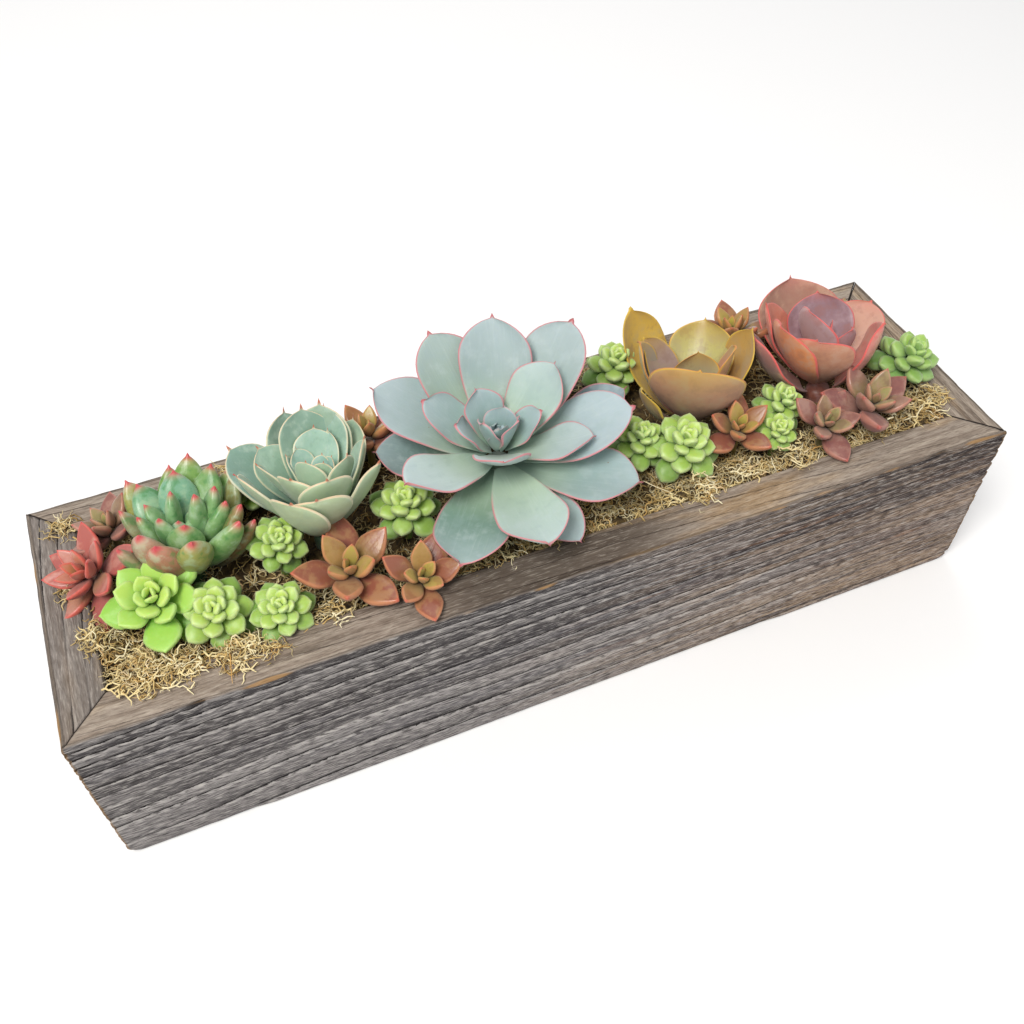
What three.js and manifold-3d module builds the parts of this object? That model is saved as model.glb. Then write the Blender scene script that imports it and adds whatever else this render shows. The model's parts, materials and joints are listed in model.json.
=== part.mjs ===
// A succulent table centrepiece: a long mitred box of weathered boards, filled with soil and dry moss and
// planted with rosettes and stonecrop heads. Millimetres, +Z up, origin at the middle of the box's base.
import * as THREE from "three";
import { mergeVertices } from "three/addons/utils/BufferGeometryUtils.js";
import Module from "manifold-3d";

const wasm = await Module();
wasm.setup();

// ---------------------------------------------------------------- driving dimensions
const box = { length: 508, width: 146, height: 113, wall: 23, floor: 12 };
const gap = 0.3; // clearance between pieces that touch
const grain = { ridges: 11, stepsPerRidge: 3, depth: 2.2, wornCorner: 2.5 }; // raised grain of the boards
const soilTop = 92;
const moss = { level: 100, edgeRise: 8, ripple: 1.2, cellsX: 30, cellsY: 10, reachX: 249, reachY: 70 };
const stem = { foot: 80, sides: 5, taper: 0.8 }; // every stem is cut off at this height, in the soil
const goldenTurn = 137.508; // degrees from one leaf of a rosette to the next
const cutMargin = 0.35; // a plant is thickened by this before it cuts its neighbour
const thinnest = 2; // least thickness of a leaf of a large rosette, at its middle

const inside = { x: box.length / 2 - box.wall, y: box.width / 2 - box.wall };
const rad = THREE.MathUtils.degToRad;
const mix = THREE.MathUtils.lerp;

// ---------------------------------------------------------------- kinds of plant
// Pairs run from the innermost leaf to the outermost. width is a share of the leaf's length, thick a share
// of its width, and pitch the angle of the leaf's chord above the plane of the rosette.
const kinds = {
  bronze: {
    count: 11, pitch: [82, 18], pitchCurve: 0.85, length: [8, 24], lengthCurve: 0.8, width: [0.56, 0.6],
    thick: 0.42, root: [0.8, 3.6], rise: [6, 0], bend: [10, 30], sides: 3, rows: 4, stem: 2.6, core: 4.4,
    form: { neck: 0.3, belly: 0.5, tip: [1.5, 0.85], cup: 0.14, keel: 0.35 },
  },
  stonecrop: {
    count: 12, pitch: [80, -6], pitchCurve: 0.85, length: [6.5, 15.5], lengthCurve: 0.75, width: [0.85, 0.82],
    thick: 0.66, root: [1.2, 4.6], rise: [8, -4], bend: [8, 32], sides: 3, rows: 3, stem: 2.6, core: 5.6,
    form: { neck: 0.3, belly: 0.6, tip: [2.2, 0.6], cup: 0.05, keel: 0 },
  },
  tipped: {
    thick: 0.6, root: [2, 13], rise: [15, 0], bend: [6, 30], sides: 3, rows: 4, stem: 6, core: 12,
    form: { neck: 0.35, belly: 0.58, tip: [2, 0.75], cup: 0.06, keel: 0.2 },
  },
  pale: {
    thick: 0.14, root: [2, 10], rise: [18, 0], bend: [8, 26], sides: 4, rows: 4, stem: 6, core: 10.5,
    form: { neck: 0.22, belly: 0.68, tip: [2.4, 0.62], cup: 0.3, keel: 0.1 },
  },
  cup: {
    thick: 0.08, root: [1, 10], rise: [16, 0], bend: [10, 55], sides: 4, rows: 4, stem: 7, core: 10.5,
    form: { neck: 0.3, belly: 0.6, tip: [2.4, 0.62], cup: 0.34, keel: 0 },
  },
  blue: {
    thick: 0.1, root: [1, 9], rise: [12, 0], bend: [10, 30], sides: 4, rows: 4, stem: 8, core: 10.5,
    form: { neck: 0.25, belly: 0.66, tip: [2.2, 0.68], cup: 0.26, keel: 0.05 },
  },
};

// The five large rosettes leaf by leaf, from the bud outwards: the turn round the stem and the pitch of the
// chord in degrees, then length and width in millimetres.
const handLeaves = {
  blue_rosette: [
    [20, 84, 13, 8], [150, 80, 15, 10], [275, 78, 17, 11], [60, 72, 24, 17], [200, 70, 24, 16],
    [-45, 66, 26, 17], [106, 60, 34, 24], [-5, 52, 32, 20], [170, 54, 32, 20], [-108, 42, 40, 30],
    [25, 42, 54, 33], [140, 36, 46, 30], [-30, 21, 50, 28], [-160, 18, 58, 34], [69, 43, 72, 40],
    [104, 39, 72, 38], [29, 36, 80, 42], [138, 26, 72, 40], [-12, 19, 72, 42], [-92, 5, 68, 37],
    [-38, 1, 72, 38], [-127, -3, 68, 40], [160, 8, 60, 32], [-72, -3, 60, 27], [4, 13, 76, 32],
  ],
  pale_rosette: [
    [60, 84, 24, 11], [-120, 90, 24, 12], [20, 82, 26, 13], [115, 65, 30, 14], [-139, 80, 29, 20],
    [154, 64, 30, 11], [48, 65, 39, 14], [85, 67, 41, 23], [-174, 52, 40, 15], [-142, 58, 36, 27],
    [-51, 71, 40, 20], [126, 54, 44, 26], [-86, 57, 43, 28], [-7, 66, 45, 20], [54, 66, 56, 27],
    [101, 71, 57, 31], [-100, 46, 49, 33], [-43, 57, 49, 22], [-167, 50, 54, 24], [134, 40, 57, 32],
    [-128, 48, 51, 30], [36, 61, 56, 24], [117, 62, 62, 32], [64, 73, 64, 32],
  ],
  tipped_rosette: [
    [28, 77, 15, 8], [-50, 75, 18, 9], [158, 88, 28, 12], [-55, 68, 24, 15], [-110, 73, 21, 10],
    [149, 57, 26, 11], [-145, 68, 27, 13], [-22, 82, 34, 15], [89, 66, 36, 20], [0, 71, 36, 15],
    [-31, 60, 33, 16], [-179, 62, 29, 12], [-100, 66, 31, 18], [124, 52, 37, 19], [52, 60, 41, 17],
    [-17, 54, 37, 15], [160, 52, 34, 12], [-53, 50, 39, 18], [-82, 51, 42, 18], [-135, 58, 39, 20],
    [-111, 54, 38, 20], [41, 52, 42, 15], [99, 64, 43, 16], [77, 63, 48, 19], [120, 58, 44, 17],
    [-157, 50, 37, 13], [-22, 50, 36, 13], [25, 60, 42, 16],
  ],
  amber_rosette: [
    [20, 88, 18, 10], [-155, 76, 20, 10], [147, 52, 25, 9], [66, 86, 31, 26], [-39, 72, 46, 24],
    [125, 54, 47, 28], [46, 51, 51, 38], [-122, 65, 51, 52], [147, 62, 55, 26], [-7, 66, 58, 30],
    [-173, 49, 51, 18], [112, 52, 69, 36],
  ],
  rose_rosette: [
    [50, 62, 17, 8], [-93, 95, 18, 8], [-26, 94, 29, 12], [-178, 73, 43, 34], [65, 62, 44, 38],
    [-76, 77, 37, 20], [30, 28, 56, 34], [-135, 56, 52, 40], [-178, 56, 56, 38], [135, 58, 57, 30],
    [-45, 68, 51, 34], [88, 46, 64, 56], [172, 47, 60, 36],
  ],
};

// ---------------------------------------------------------------- plants
// Name, kind, the crown where the stem meets the leaves, the lean as its direction and tilt in degrees,
// the turn of the first leaf, size, colour.
const plants = [
  ["blue_rosette", "blue", [-20, 0, 129], [0, 0], 0, 0.96, 0x9dbcb8],
  ["pale_rosette", "pale", [-114, 6, 110], [67, 20], 0, 1, 0xa9c4a6],
  ["tipped_rosette", "tipped", [-181, 10, 110], [67, 15], 0, 1, 0x86ad72],
  ["amber_rosette", "cup", [100, 7, 106], [67, 10], 0, 1, 0xb08a4a],
  ["rose_rosette", "cup", [183, 4, 106], [67, 10], 0, 1, 0xb9766c],
  ["bronze_rosette_1", "bronze", [-225, 13, 118], [-165, 32], 0, 1.15, 0xa2524a],
  ["bronze_rosette_2", "bronze", [-213, 38, 117], [150, 14], 60, 1, 0xa0584a],
  ["bronze_rosette_3", "bronze", [-111, -33, 117], [-95, 12], 144, 1.25, 0xa9694f],
  ["bronze_rosette_4", "bronze", [-80, -46, 117], [-80, 34], 113, 1.05, 0x9d5b48],
  ["bronze_rosette_5", "bronze", [112, -20, 117], [-90, 14], 262, 0.95, 0xa96a54],
  ["bronze_rosette_6", "bronze", [159, -34, 116], [-100, 16], 107, 1, 0x8f4f49],
  ["bronze_rosette_7", "bronze", [189, -32, 117], [-60, 12], 220, 1.2, 0x96605a],
  ["bronze_rosette_8", "bronze", [-76, 46, 122], [90, 8], 0, 1.05, 0x9d6240],
  ["bronze_rosette_9", "bronze", [146, 46, 121], [110, 10], 50, 1.05, 0xa36a50],
  ["bronze_rosette_10", "bronze", [222, 40, 116], [50, 10], 15, 0.9, 0x9a6257],
  ["stonecrop_head_1", "stonecrop", [-200, -17, 121], [-100, 20], 0, 1.45, 0x9ccb4f],
  ["stonecrop_head_2", "stonecrop", [-176, -31, 119], [-95, 24], 40, 1.12, 0xa3c66a],
  ["stonecrop_head_3", "stonecrop", [-147, -42, 120], [-90, 18], 90, 0.95, 0xa9cc66],
  ["stonecrop_head_4", "stonecrop", [-139, -6, 125], [-70, 26], 10, 0.92, 0xa9cf78],
  ["stonecrop_head_5", "stonecrop", [-73, -5, 122], [-95, 14], 70, 1.12, 0x93c95c],
  ["stonecrop_head_6", "stonecrop", [69, 45, 127], [-90, 12], 120, 1, 0x93c657],
  ["stonecrop_head_7", "stonecrop", [58, -8, 121], [-80, 16], 25, 0.95, 0x8fc062],
  ["stonecrop_head_8", "stonecrop", [78, -21, 122], [-95, 18], 65, 1.2, 0x98c76b],
  ["stonecrop_head_9", "stonecrop", [143, -13, 122], [-60, 18], 5, 0.88, 0xa5ca78],
  ["stonecrop_head_10", "stonecrop", [132, -28, 118], [-100, 22], 55, 0.78, 0xa5ca78],
  ["stonecrop_head_11", "stonecrop", [226, -13, 126], [-60, 16], 80, 1.15, 0x93c472],
  ["stonecrop_head_12", "stonecrop", [-142, 43, 116], [90, 10], 35, 0.95, 0x9cc866],
  ["stonecrop_head_13", "stonecrop", [4, 43, 117], [90, 8], 15, 0.95, 0x9cc866],
].map(([name, kind, at, lean, start, size, color]) => ({ name, kind, at, lean, start, size, color }));

// Mounds of moss: x, y, height above the level, radius. The ones at the front spill over the rim.
const mossMounds = [
  [-212, -46, 11, 16], [-195, -50, 11, 15], [-172, -51, 10, 15], [-158, -58, 7, 12], [-121, -46, 8, 15],
  [-36, -44, 8, 17], [66, -42, 8, 15], [79, -46, 9, 14], [113, -42, 8, 14], [136, -44, 8, 14],
  [181, -43, 8, 15], [214, -40, 9, 14], [229, -34, 9, 13], [-244, 14, 8, 14], [-229, -22, 9, 13],
  [-148, 60, 9, 14], [-238, 56, 7, 13], [-40, 52, 7, 16], [60, 52, 7, 16],
];

// ---------------------------------------------------------------- solids
function solidOf(geometry) {
  const bare = geometry.clone();
  bare.deleteAttribute("normal");
  bare.deleteAttribute("uv");
  const merged = mergeVertices(bare, 1e-4);
  const vertProperties = new Float32Array(merged.attributes.position.array);
  const triVerts = new Uint32Array(merged.index.array);
  return new wasm.Manifold(new wasm.Mesh({ numProp: 3, vertProperties, triVerts }));
}

function geometryOf(solid) {
  const mesh = solid.getMesh();
  const geometry = new THREE.BufferGeometry();
  geometry.setAttribute("position", new THREE.BufferAttribute(new Float32Array(mesh.vertProperties), 3));
  geometry.setIndex(new THREE.BufferAttribute(new Uint32Array(mesh.triVerts), 1));
  geometry.computeVertexNormals();
  return geometry;
}

function largestPiece(solid) {
  return solid.decompose().reduce((best, piece) => (piece.volume() > best.volume() ? piece : best));
}

function blockBetween(low, high) {
  const size = high.map((value, axis) => value - low[axis]);
  const middle = high.map((value, axis) => (value + low[axis]) / 2);
  return solidOf(new THREE.BoxGeometry(...size).translate(...middle));
}

function overlaps(a, b) {
  const [p, q] = [a.boundingBox(), b.boundingBox()];
  return [0, 1, 2].every((axis) => p.min[axis] < q.max[axis] && q.min[axis] < p.max[axis]);
}

// ---------------------------------------------------------------- boards
// A board's section: x runs from the inside face outwards and y upwards. Its outer face carries rounded
// ridges of raised grain, with a depth and spacing that vary by a formula set by the seed.
function boardSection(seed) {
  const section = new THREE.Shape();
  const steps = grain.ridges * grain.stepsPerRidge;
  section.moveTo(0, 0);
  section.lineTo(box.wall - grain.wornCorner, 0);
  for (let i = 0; i <= steps; i++) {
    const height = mix(grain.wornCorner, box.height - grain.wornCorner, i / steps);
    const wave = Math.sin((i / grain.stepsPerRidge) * 2 * Math.PI + 1.7 * Math.sin(i * 0.37 + seed));
    const depth = grain.depth * (0.35 + 0.65 * Math.abs(Math.sin(i * 0.53 + seed * 2.1)));
    section.lineTo(box.wall - (depth * (1 - wave)) / 2, height);
  }
  section.lineTo(box.wall - grain.wornCorner, box.height);
  section.lineTo(0, box.height);
  return section;
}

// A mitred board of the given outer length: its inside face lies at y = 0 and its outer face towards +y.
function mitredBoard(length, seed) {
  const plank = new THREE.ExtrudeGeometry(boardSection(seed), { depth: length, bevelEnabled: false });
  const [x, y, z] = [new THREE.Vector3(1, 0, 0), new THREE.Vector3(0, 1, 0), new THREE.Vector3(0, 0, 1)];
  plank.applyMatrix4(new THREE.Matrix4().makeBasis(y, z, x)).translate(-length / 2, 0, 0);
  const setBack = gap / Math.SQRT2; // leaves the gap between two mitred faces
  const plan = new THREE.Shape();
  plan.moveTo(-length / 2 + box.wall + setBack, 0);
  plan.lineTo(length / 2 - box.wall - setBack, 0);
  plan.lineTo(length / 2 - setBack, box.wall);
  plan.lineTo(-length / 2 + setBack, box.wall);
  const mitres = new THREE.ExtrudeGeometry(plan, { depth: box.height, bevelEnabled: false });
  return geometryOf(solidOf(plank).intersect(solidOf(mitres)));
}

const wood = (color) => new THREE.MeshStandardMaterial({ color, roughness: 0.9, metalness: 0 });

function boards() {
  const places = [
    ["front_board", box.length, 1, [0, -inside.y, 0], 180, 0x6f665e],
    ["back_board", box.length, 2, [0, inside.y, 0], 0, 0x6f665e],
    ["left_board", box.width, 3, [-inside.x, 0, 0], 90, 0x7a7068],
    ["right_board", box.width, 4, [inside.x, 0, 0], -90, 0x7a7068],
  ];
  return places.map(([name, length, seed, position, turn, color]) => {
    const board = new THREE.Mesh(mitredBoard(length, seed), wood(color));
    board.name = name;
    board.position.set(...position);
    board.rotation.z = rad(turn);
    return board;
  });
}

function floorBoard() {
  const [x, y] = [inside.x - gap, inside.y - gap];
  const floor = new THREE.Mesh(new THREE.BoxGeometry(2 * x, 2 * y, box.floor), wood(0x8a7a66));
  floor.name = "floor_board";
  floor.position.z = box.floor / 2;
  return floor;
}

// The four walls as one plain block, kept clear by the gap, that cuts the moss and any low leaf.
function wallCutter() {
  const [x, y, top] = [box.length / 2 + gap, box.width / 2 + gap, box.height + gap];
  const [hollowX, hollowY] = [inside.x - gap, inside.y - gap];
  const hollow = blockBetween([-hollowX, -hollowY, -1], [hollowX, hollowY, top + 1]);
  return blockBetween([-x, -y, 0], [x, y, top]).subtract(hollow);
}

// ---------------------------------------------------------------- leaves
const wobble = (index, salt) => {
  const value = Math.sin(index * 12.9898 + salt * 78.233) * 43758.5453;
  return value - Math.floor(value) - 0.5;
};

// Half-width of a leaf along its length, as a share of its greatest half-width.
function outline(form, along) {
  if (along < form.belly) return mix(form.neck, 1, Math.sin((along / form.belly) * (Math.PI / 2)));
  return (1 - ((along - form.belly) / (1 - form.belly)) ** form.tip[0]) ** form.tip[1];
}

// A closed leaf, root at the origin, growing along +x with its upper face towards +z: a sphere whose poles
// become root and tip and whose rings become flat, cupped and keeled sections on a bent midline.
function leafGeometry(kind, leaf, extra) {
  const geometry = new THREE.SphereGeometry(1, kind.sides, kind.rows);
  const { position, uv } = geometry.attributes;
  const bend = rad(leaf.bend);
  const first = rad(leaf.pitch) - bend / 2; // the chord then has the stated pitch
  const roll = kind.sides === 3 ? Math.PI / 6 : 0; // turns a three-sided section's edge down, as a keel
  for (let i = 0; i < position.count; i++) {
    const along = uv.getY(i);
    const around = 2 * Math.PI * uv.getX(i) + roll;
    const pole = along < 1e-6 || along > 1 - 1e-6;
    const share = pole ? 0 : outline(kind.form, along);
    const half = pole ? 0 : (leaf.width / 2) * share + extra;
    const thick = pole ? 0 : (leaf.thick / 2) * Math.sqrt(share) * (1 - 0.5 * along ** 3) + extra;
    const [side, up] = [Math.cos(around), Math.sin(around)];
    const lift = kind.form.cup * half * side * side;
    const keel = up < 0 ? kind.form.keel * thick * (1 - Math.abs(side)) : 0;
    const offset = lift + thick * up - keel;
    const angle = first + bend * along;
    const x = (leaf.length * (Math.sin(angle) - Math.sin(first))) / bend - offset * Math.sin(angle);
    const z = (leaf.length * (Math.cos(first) - Math.cos(angle))) / bend + offset * Math.cos(angle);
    position.setXYZ(i, x, half * side, z);
  }
  return geometry;
}

// The leaves of a small rosette or head by rule: a golden turn each, flatter and longer towards the outside.
function leavesByRule(plant, kind) {
  return Array.from({ length: kind.count }, (unused, index) => {
    const t = index / (kind.count - 1);
    const length = plant.size * mix(...kind.length, t ** kind.lengthCurve) * (1 + 0.14 * wobble(index, 3));
    const width = length * mix(...kind.width, t);
    return {
      t, length, width,
      thick: width * kind.thick,
      turn: plant.start + index * goldenTurn + 10 * wobble(index, 1),
      pitch: mix(...kind.pitch, t ** kind.pitchCurve) + 8 * wobble(index, 2),
      bend: mix(...kind.bend, t),
    };
  });
}

function leavesByHand(rows, plant, kind) {
  return rows.map(([turn, pitch, longest, widest], index) => {
    const t = index / (rows.length - 1);
    const [length, width] = [plant.size * longest, plant.size * widest];
    const thick = Math.max(thinnest, width * kind.thick);
    return { t, turn, pitch, length, width, thick, bend: mix(...kind.bend, t) };
  });
}

// The whole plant as one solid: leaves, a small core where they meet, and the stem down into the soil.
// extra thickens it all round, so that it can cut its neighbours clear.
function plantSolid(plant, extra) {
  const kind = kinds[plant.kind];
  const rows = handLeaves[plant.name];
  const leaves = rows ? leavesByHand(rows, plant, kind) : leavesByRule(plant, kind);
  const [direction, tilt] = plant.lean.map(rad);
  const axis = new THREE.Vector3(-Math.sin(direction), Math.cos(direction), 0);
  const crown = new THREE.Matrix4().makeRotationAxis(axis, tilt).setPosition(...plant.at);
  const coreRadius = kind.core * plant.size + extra;
  const coreTop = 1.25 * kind.rise[0] * plant.size + extra; // so that the innermost roots are sunk in it
  const coreFoot = 0.5 * coreRadius;
  const core = new THREE.SphereGeometry(1, 6, 4).rotateX(Math.PI / 2);
  core.scale(coreRadius, coreRadius, (coreTop + coreFoot) / 2).translate(0, 0, (coreTop - coreFoot) / 2);
  core.applyMatrix4(crown);
  const height = plant.at[2] - stem.foot;
  const radius = kind.stem * plant.size + extra;
  const stalk = new THREE.CylinderGeometry(radius, radius * stem.taper, height + extra, stem.sides);
  stalk.rotateX(Math.PI / 2).translate(plant.at[0], plant.at[1], plant.at[2] - (height + extra) / 2);
  const pieces = [solidOf(core), solidOf(stalk)];
  for (const leaf of leaves) {
    const rootRadius = plant.size * mix(...kind.root, leaf.t);
    const rise = plant.size * mix(...kind.rise, leaf.t);
    const place = new THREE.Matrix4().makeRotationZ(rad(leaf.turn));
    place.multiply(new THREE.Matrix4().makeTranslation(rootRadius, 0, rise)).premultiply(crown);
    pieces.push(solidOf(leafGeometry(kind, leaf, extra).applyMatrix4(place)));
  }
  return wasm.Manifold.union(pieces);
}

function plantMeshes(walls) {
  const placed = [];
  for (const plant of plants) {
    let solid = plantSolid(plant, 0);
    const cutters = placed.map((other) => other.cutter).filter((cutter) => overlaps(cutter, solid));
    for (const cutter of [walls, ...cutters]) solid = solid.subtract(cutter);
    placed.push({ plant, solid: largestPiece(solid), cutter: plantSolid(plant, cutMargin) });
  }
  return placed;
}

// ---------------------------------------------------------------- soil and moss
// Both are filled round the stems, which stand in plain holes.
function holesFor(placed) {
  return placed.map(({ plant }) => {
    const radius = kinds[plant.kind].stem * plant.size + gap;
    const top = plant.at[2];
    const hole = new THREE.CylinderGeometry(radius, radius * stem.taper, top - stem.foot + gap, stem.sides);
    hole.rotateX(Math.PI / 2);
    return solidOf(hole.translate(plant.at[0], plant.at[1], (top + stem.foot - gap) / 2));
  });
}

function soilSolid(holes) {
  const [x, y] = [inside.x - gap, inside.y - gap];
  const fill = blockBetween([-x, -y, box.floor + gap], [x, y, soilTop]);
  return fill.subtract(wasm.Manifold.union(holes));
}

function mossHeight(x, y) {
  const waves = Math.sin(x * 0.21 + 1.3) * Math.cos(y * 0.33) + Math.sin(x * 0.09 - y * 0.17);
  const mounds = mossMounds.map(([cx, cy, height, radius]) =>
    height * Math.exp(-((x - cx) ** 2 + (y - cy) ** 2) / (radius * radius)));
  const edge = Math.max(Math.abs(x) / inside.x, Math.abs(y) / inside.y) ** 4;
  return moss.level + moss.edgeRise * Math.min(edge, 1) + moss.ripple * waves + Math.max(...mounds);
}

// A quilt of moss: a box whose top follows the height formula, cut to the walls so that only its mounds
// spill over the rim, and cut clear of the plants.
function mossSolid(walls, holes, placed) {
  const [x, y] = [moss.reachX, moss.reachY];
  const slab = new THREE.BoxGeometry(2 * x, 2 * y, 1, moss.cellsX, moss.cellsY, 1);
  const { position } = slab.attributes;
  for (let i = 0; i < position.count; i++) {
    const [px, py, pz] = [position.getX(i), position.getY(i), position.getZ(i)];
    position.setZ(i, pz > 0 ? mossHeight(px, py) : soilTop + gap);
  }
  let quilt = solidOf(slab).subtract(walls).subtract(wasm.Manifold.union(holes));
  for (const { cutter } of placed) quilt = quilt.subtract(cutter);
  return largestPiece(quilt);
}

// ---------------------------------------------------------------- assembly
function named(name, solid, color, roughness) {
  const material = new THREE.MeshStandardMaterial({ color, roughness, metalness: 0 });
  const mesh = new THREE.Mesh(geometryOf(solid), material);
  mesh.name = name;
  return mesh;
}

const walls = wallCutter();
const placed = plantMeshes(walls);
const holes = holesFor(placed);

const centrepiece = new THREE.Group();
centrepiece.add(...boards(), floorBoard());
centrepiece.add(named("soil", soilSolid(holes), 0x3b2c22, 1));
centrepiece.add(named("moss_quilt", mossSolid(walls, holes, placed), 0xb79a63, 1));
for (const { plant, solid } of placed) centrepiece.add(named(plant.name, solid, plant.color, 0.55));

export default centrepiece;
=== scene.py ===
import json
import math
import random
from functools import partial

import bpy
import numpy as np
from mathutils import Matrix, Vector, noise

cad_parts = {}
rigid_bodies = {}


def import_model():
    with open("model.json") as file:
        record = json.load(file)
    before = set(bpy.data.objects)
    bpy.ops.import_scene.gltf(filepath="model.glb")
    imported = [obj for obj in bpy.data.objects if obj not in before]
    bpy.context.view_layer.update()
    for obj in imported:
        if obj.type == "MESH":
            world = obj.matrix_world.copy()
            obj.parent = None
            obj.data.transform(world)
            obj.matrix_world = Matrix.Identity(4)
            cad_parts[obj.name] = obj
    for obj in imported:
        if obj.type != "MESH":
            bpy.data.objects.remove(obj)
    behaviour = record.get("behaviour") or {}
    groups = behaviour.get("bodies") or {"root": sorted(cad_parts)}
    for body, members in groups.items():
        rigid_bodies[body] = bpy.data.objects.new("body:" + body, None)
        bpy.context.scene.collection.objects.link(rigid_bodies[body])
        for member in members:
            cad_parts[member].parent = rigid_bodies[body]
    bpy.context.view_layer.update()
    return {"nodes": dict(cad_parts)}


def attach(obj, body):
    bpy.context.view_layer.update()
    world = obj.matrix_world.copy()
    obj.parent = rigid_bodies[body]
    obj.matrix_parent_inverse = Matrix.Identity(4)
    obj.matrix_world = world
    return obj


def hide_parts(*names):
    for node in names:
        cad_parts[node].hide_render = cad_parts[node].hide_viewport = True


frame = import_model()
mm = 0.001
box = {"length": 508, "width": 146, "height": 113, "wall": 23}
insideX = box["length"] / 2 - box["wall"]
insideY = box["width"] / 2 - box["wall"]


def between(pair, share):
    return pair[0] + (pair[1] - pair[0]) * share


def joined(*words):  # words as one name in camel case
    return words[0] + "".join(word.capitalize() for word in words[1:])


def colourOf(code):  # an sRGB hex value as the linear colour that a socket takes
    parts = [int(code[i:i + 2], 16) / 255 for i in (1, 3, 5)]
    return [c / 12.92 if c <= 0.04045 else ((c + 0.055) / 1.055) ** 2.4 for c in parts] + [1.0]


def addNode(tree, kind, links=None, **settings):  # inputs are sockets or nodes to link, or plain values
    node = tree.nodes.new(kind)
    for name, value in settings.items():
        setattr(node, name, value)
    for name, value in (links or {}).items():
        socket = node.inputs[name]
        if isinstance(value, bpy.types.Node):
            value = next(output for output in value.outputs if output.enabled)
        if isinstance(value, bpy.types.NodeSocket):
            tree.links.new(value, socket)
        elif isinstance(value, str) and value.startswith("#"):
            socket.default_value = colourOf(value)
        else:
            socket.default_value = value
    return node


def startMaterial(name, constants):  # constants are set on the shader's own sockets
    material = bpy.data.materials.new(name)
    material.use_nodes = True
    for key, value in constants.items():
        material.node_tree.nodes["Principled BSDF"].inputs[key].default_value = value
    return material, material.node_tree


def wireShader(tree, colour, relief=None):
    shader = tree.nodes["Principled BSDF"]
    tree.links.new(colour, shader.inputs["Base Color"])
    if relief:
        tree.links.new(relief.outputs["Normal"], shader.inputs["Normal"])


def meshPiece(name, points, faces, values=None, vectors=None):
    mesh = bpy.data.meshes.new(name)
    mesh.from_pydata([tuple(p) for p in points], [], faces)
    for key, numbers in (values or {}).items():
        mesh.attributes.new(key, "FLOAT", "POINT").data.foreach_set("value", np.asarray(numbers, np.float32))
    for key, rows in (vectors or {}).items():
        flat = np.asarray(rows, np.float32).ravel()
        mesh.attributes.new(key, "FLOAT_VECTOR", "POINT").data.foreach_set("vector", flat)
    mesh.polygons.foreach_set("use_smooth", [True] * len(mesh.polygons))
    piece = bpy.data.objects.new(name, mesh)
    bpy.context.scene.collection.objects.link(piece)
    return piece


def addShell(blocks, faces, shape, shapeFaces):  # one more closed shell for a piece that is made of several
    first = sum(len(block) for block in blocks)
    blocks.append(shape)
    faces += [tuple(first + k for k in face) for face in shapeFaces]


def place(piece, material, slot, *nodes):  # the frame calls that every finished piece of this object gets
    piece.data.materials.clear()
    piece.data.materials.append(material)
    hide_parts(*nodes)
    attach(piece, "root")


# the camera as solved from the box's corners, and a white studio with soft lamps
view = {
    "lens": 36.99, "place": (-156.163, -347.801, 525.732),
    "right": (0.92394, -0.38253, -0.00029), "down": (-0.29118, -0.70279, -0.64908),
    "forward": (0.24809, 0.59980, -0.76072),
}
studio = {
    "skyColour": "#ffffff", "skyStrength": 0.44, "floorColour": "#fafafa", "floorSize": 6.0,
    # name, place in metres, what it points at, size, watts, colour
    "lamps": [
        ("keyLamp", (-0.9, -0.7, 1.9), (0, 0, 0.1), 0.8, 38, "#fffcf8"),
        ("fillLamp", (1.2, -1.3, 1.2), (0.1, 0, 0.1), 1.6, 6, "#f4f8ff"),
        ("rearLamp", (0.3, 1.5, 1.6), (0, 0, 0.1), 1.4, 9, "#ffffff"),
    ],
}


def buildStudio():
    scene = bpy.context.scene
    camera = bpy.data.objects.new("photoCamera", bpy.data.cameras.new("photoCamera"))
    camera.data.sensor_width = 36
    camera.data.lens = view["lens"]
    camera.data.clip_start = 0.02
    axes = [Vector(view["right"]), -Vector(view["down"]), -Vector(view["forward"])]
    camera.matrix_world = Matrix.Translation(Vector(view["place"]) * mm) @ Matrix(axes).transposed().to_4x4()
    scene.collection.objects.link(camera)
    scene.camera = camera
    for name, spot, aim, size, watts, colour in studio["lamps"]:
        lamp = bpy.data.lights.new(name, "AREA")
        lamp.size = size
        lamp.energy = watts
        lamp.color = colourOf(colour)[:3]
        holder = bpy.data.objects.new(name, lamp)
        holder.location = spot
        holder.rotation_euler = (Vector(aim) - Vector(spot)).to_track_quat("-Z", "Y").to_euler()
        scene.collection.objects.link(holder)
    sky = bpy.data.worlds.new("studioSky")
    sky.use_nodes = True
    backdrop = sky.node_tree.nodes["Background"]
    backdrop.inputs["Color"].default_value = colourOf(studio["skyColour"])
    backdrop.inputs["Strength"].default_value = studio["skyStrength"]
    scene.world = sky
    scene.view_settings.view_transform = "Standard"
    half = studio["floorSize"] / 2
    corners = [(-half, -half, 0), (half, -half, 0), (half, half, 0), (-half, half, 0)]
    floor = meshPiece("floor", corners, [(0, 1, 2, 3)])
    paint = {"Base Color": colourOf(studio["floorColour"]), "Roughness": 0.9}
    floor.data.materials.append(startMaterial("matFloorPaint", paint)[0])


buildStudio()
print("studio ready")

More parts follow.
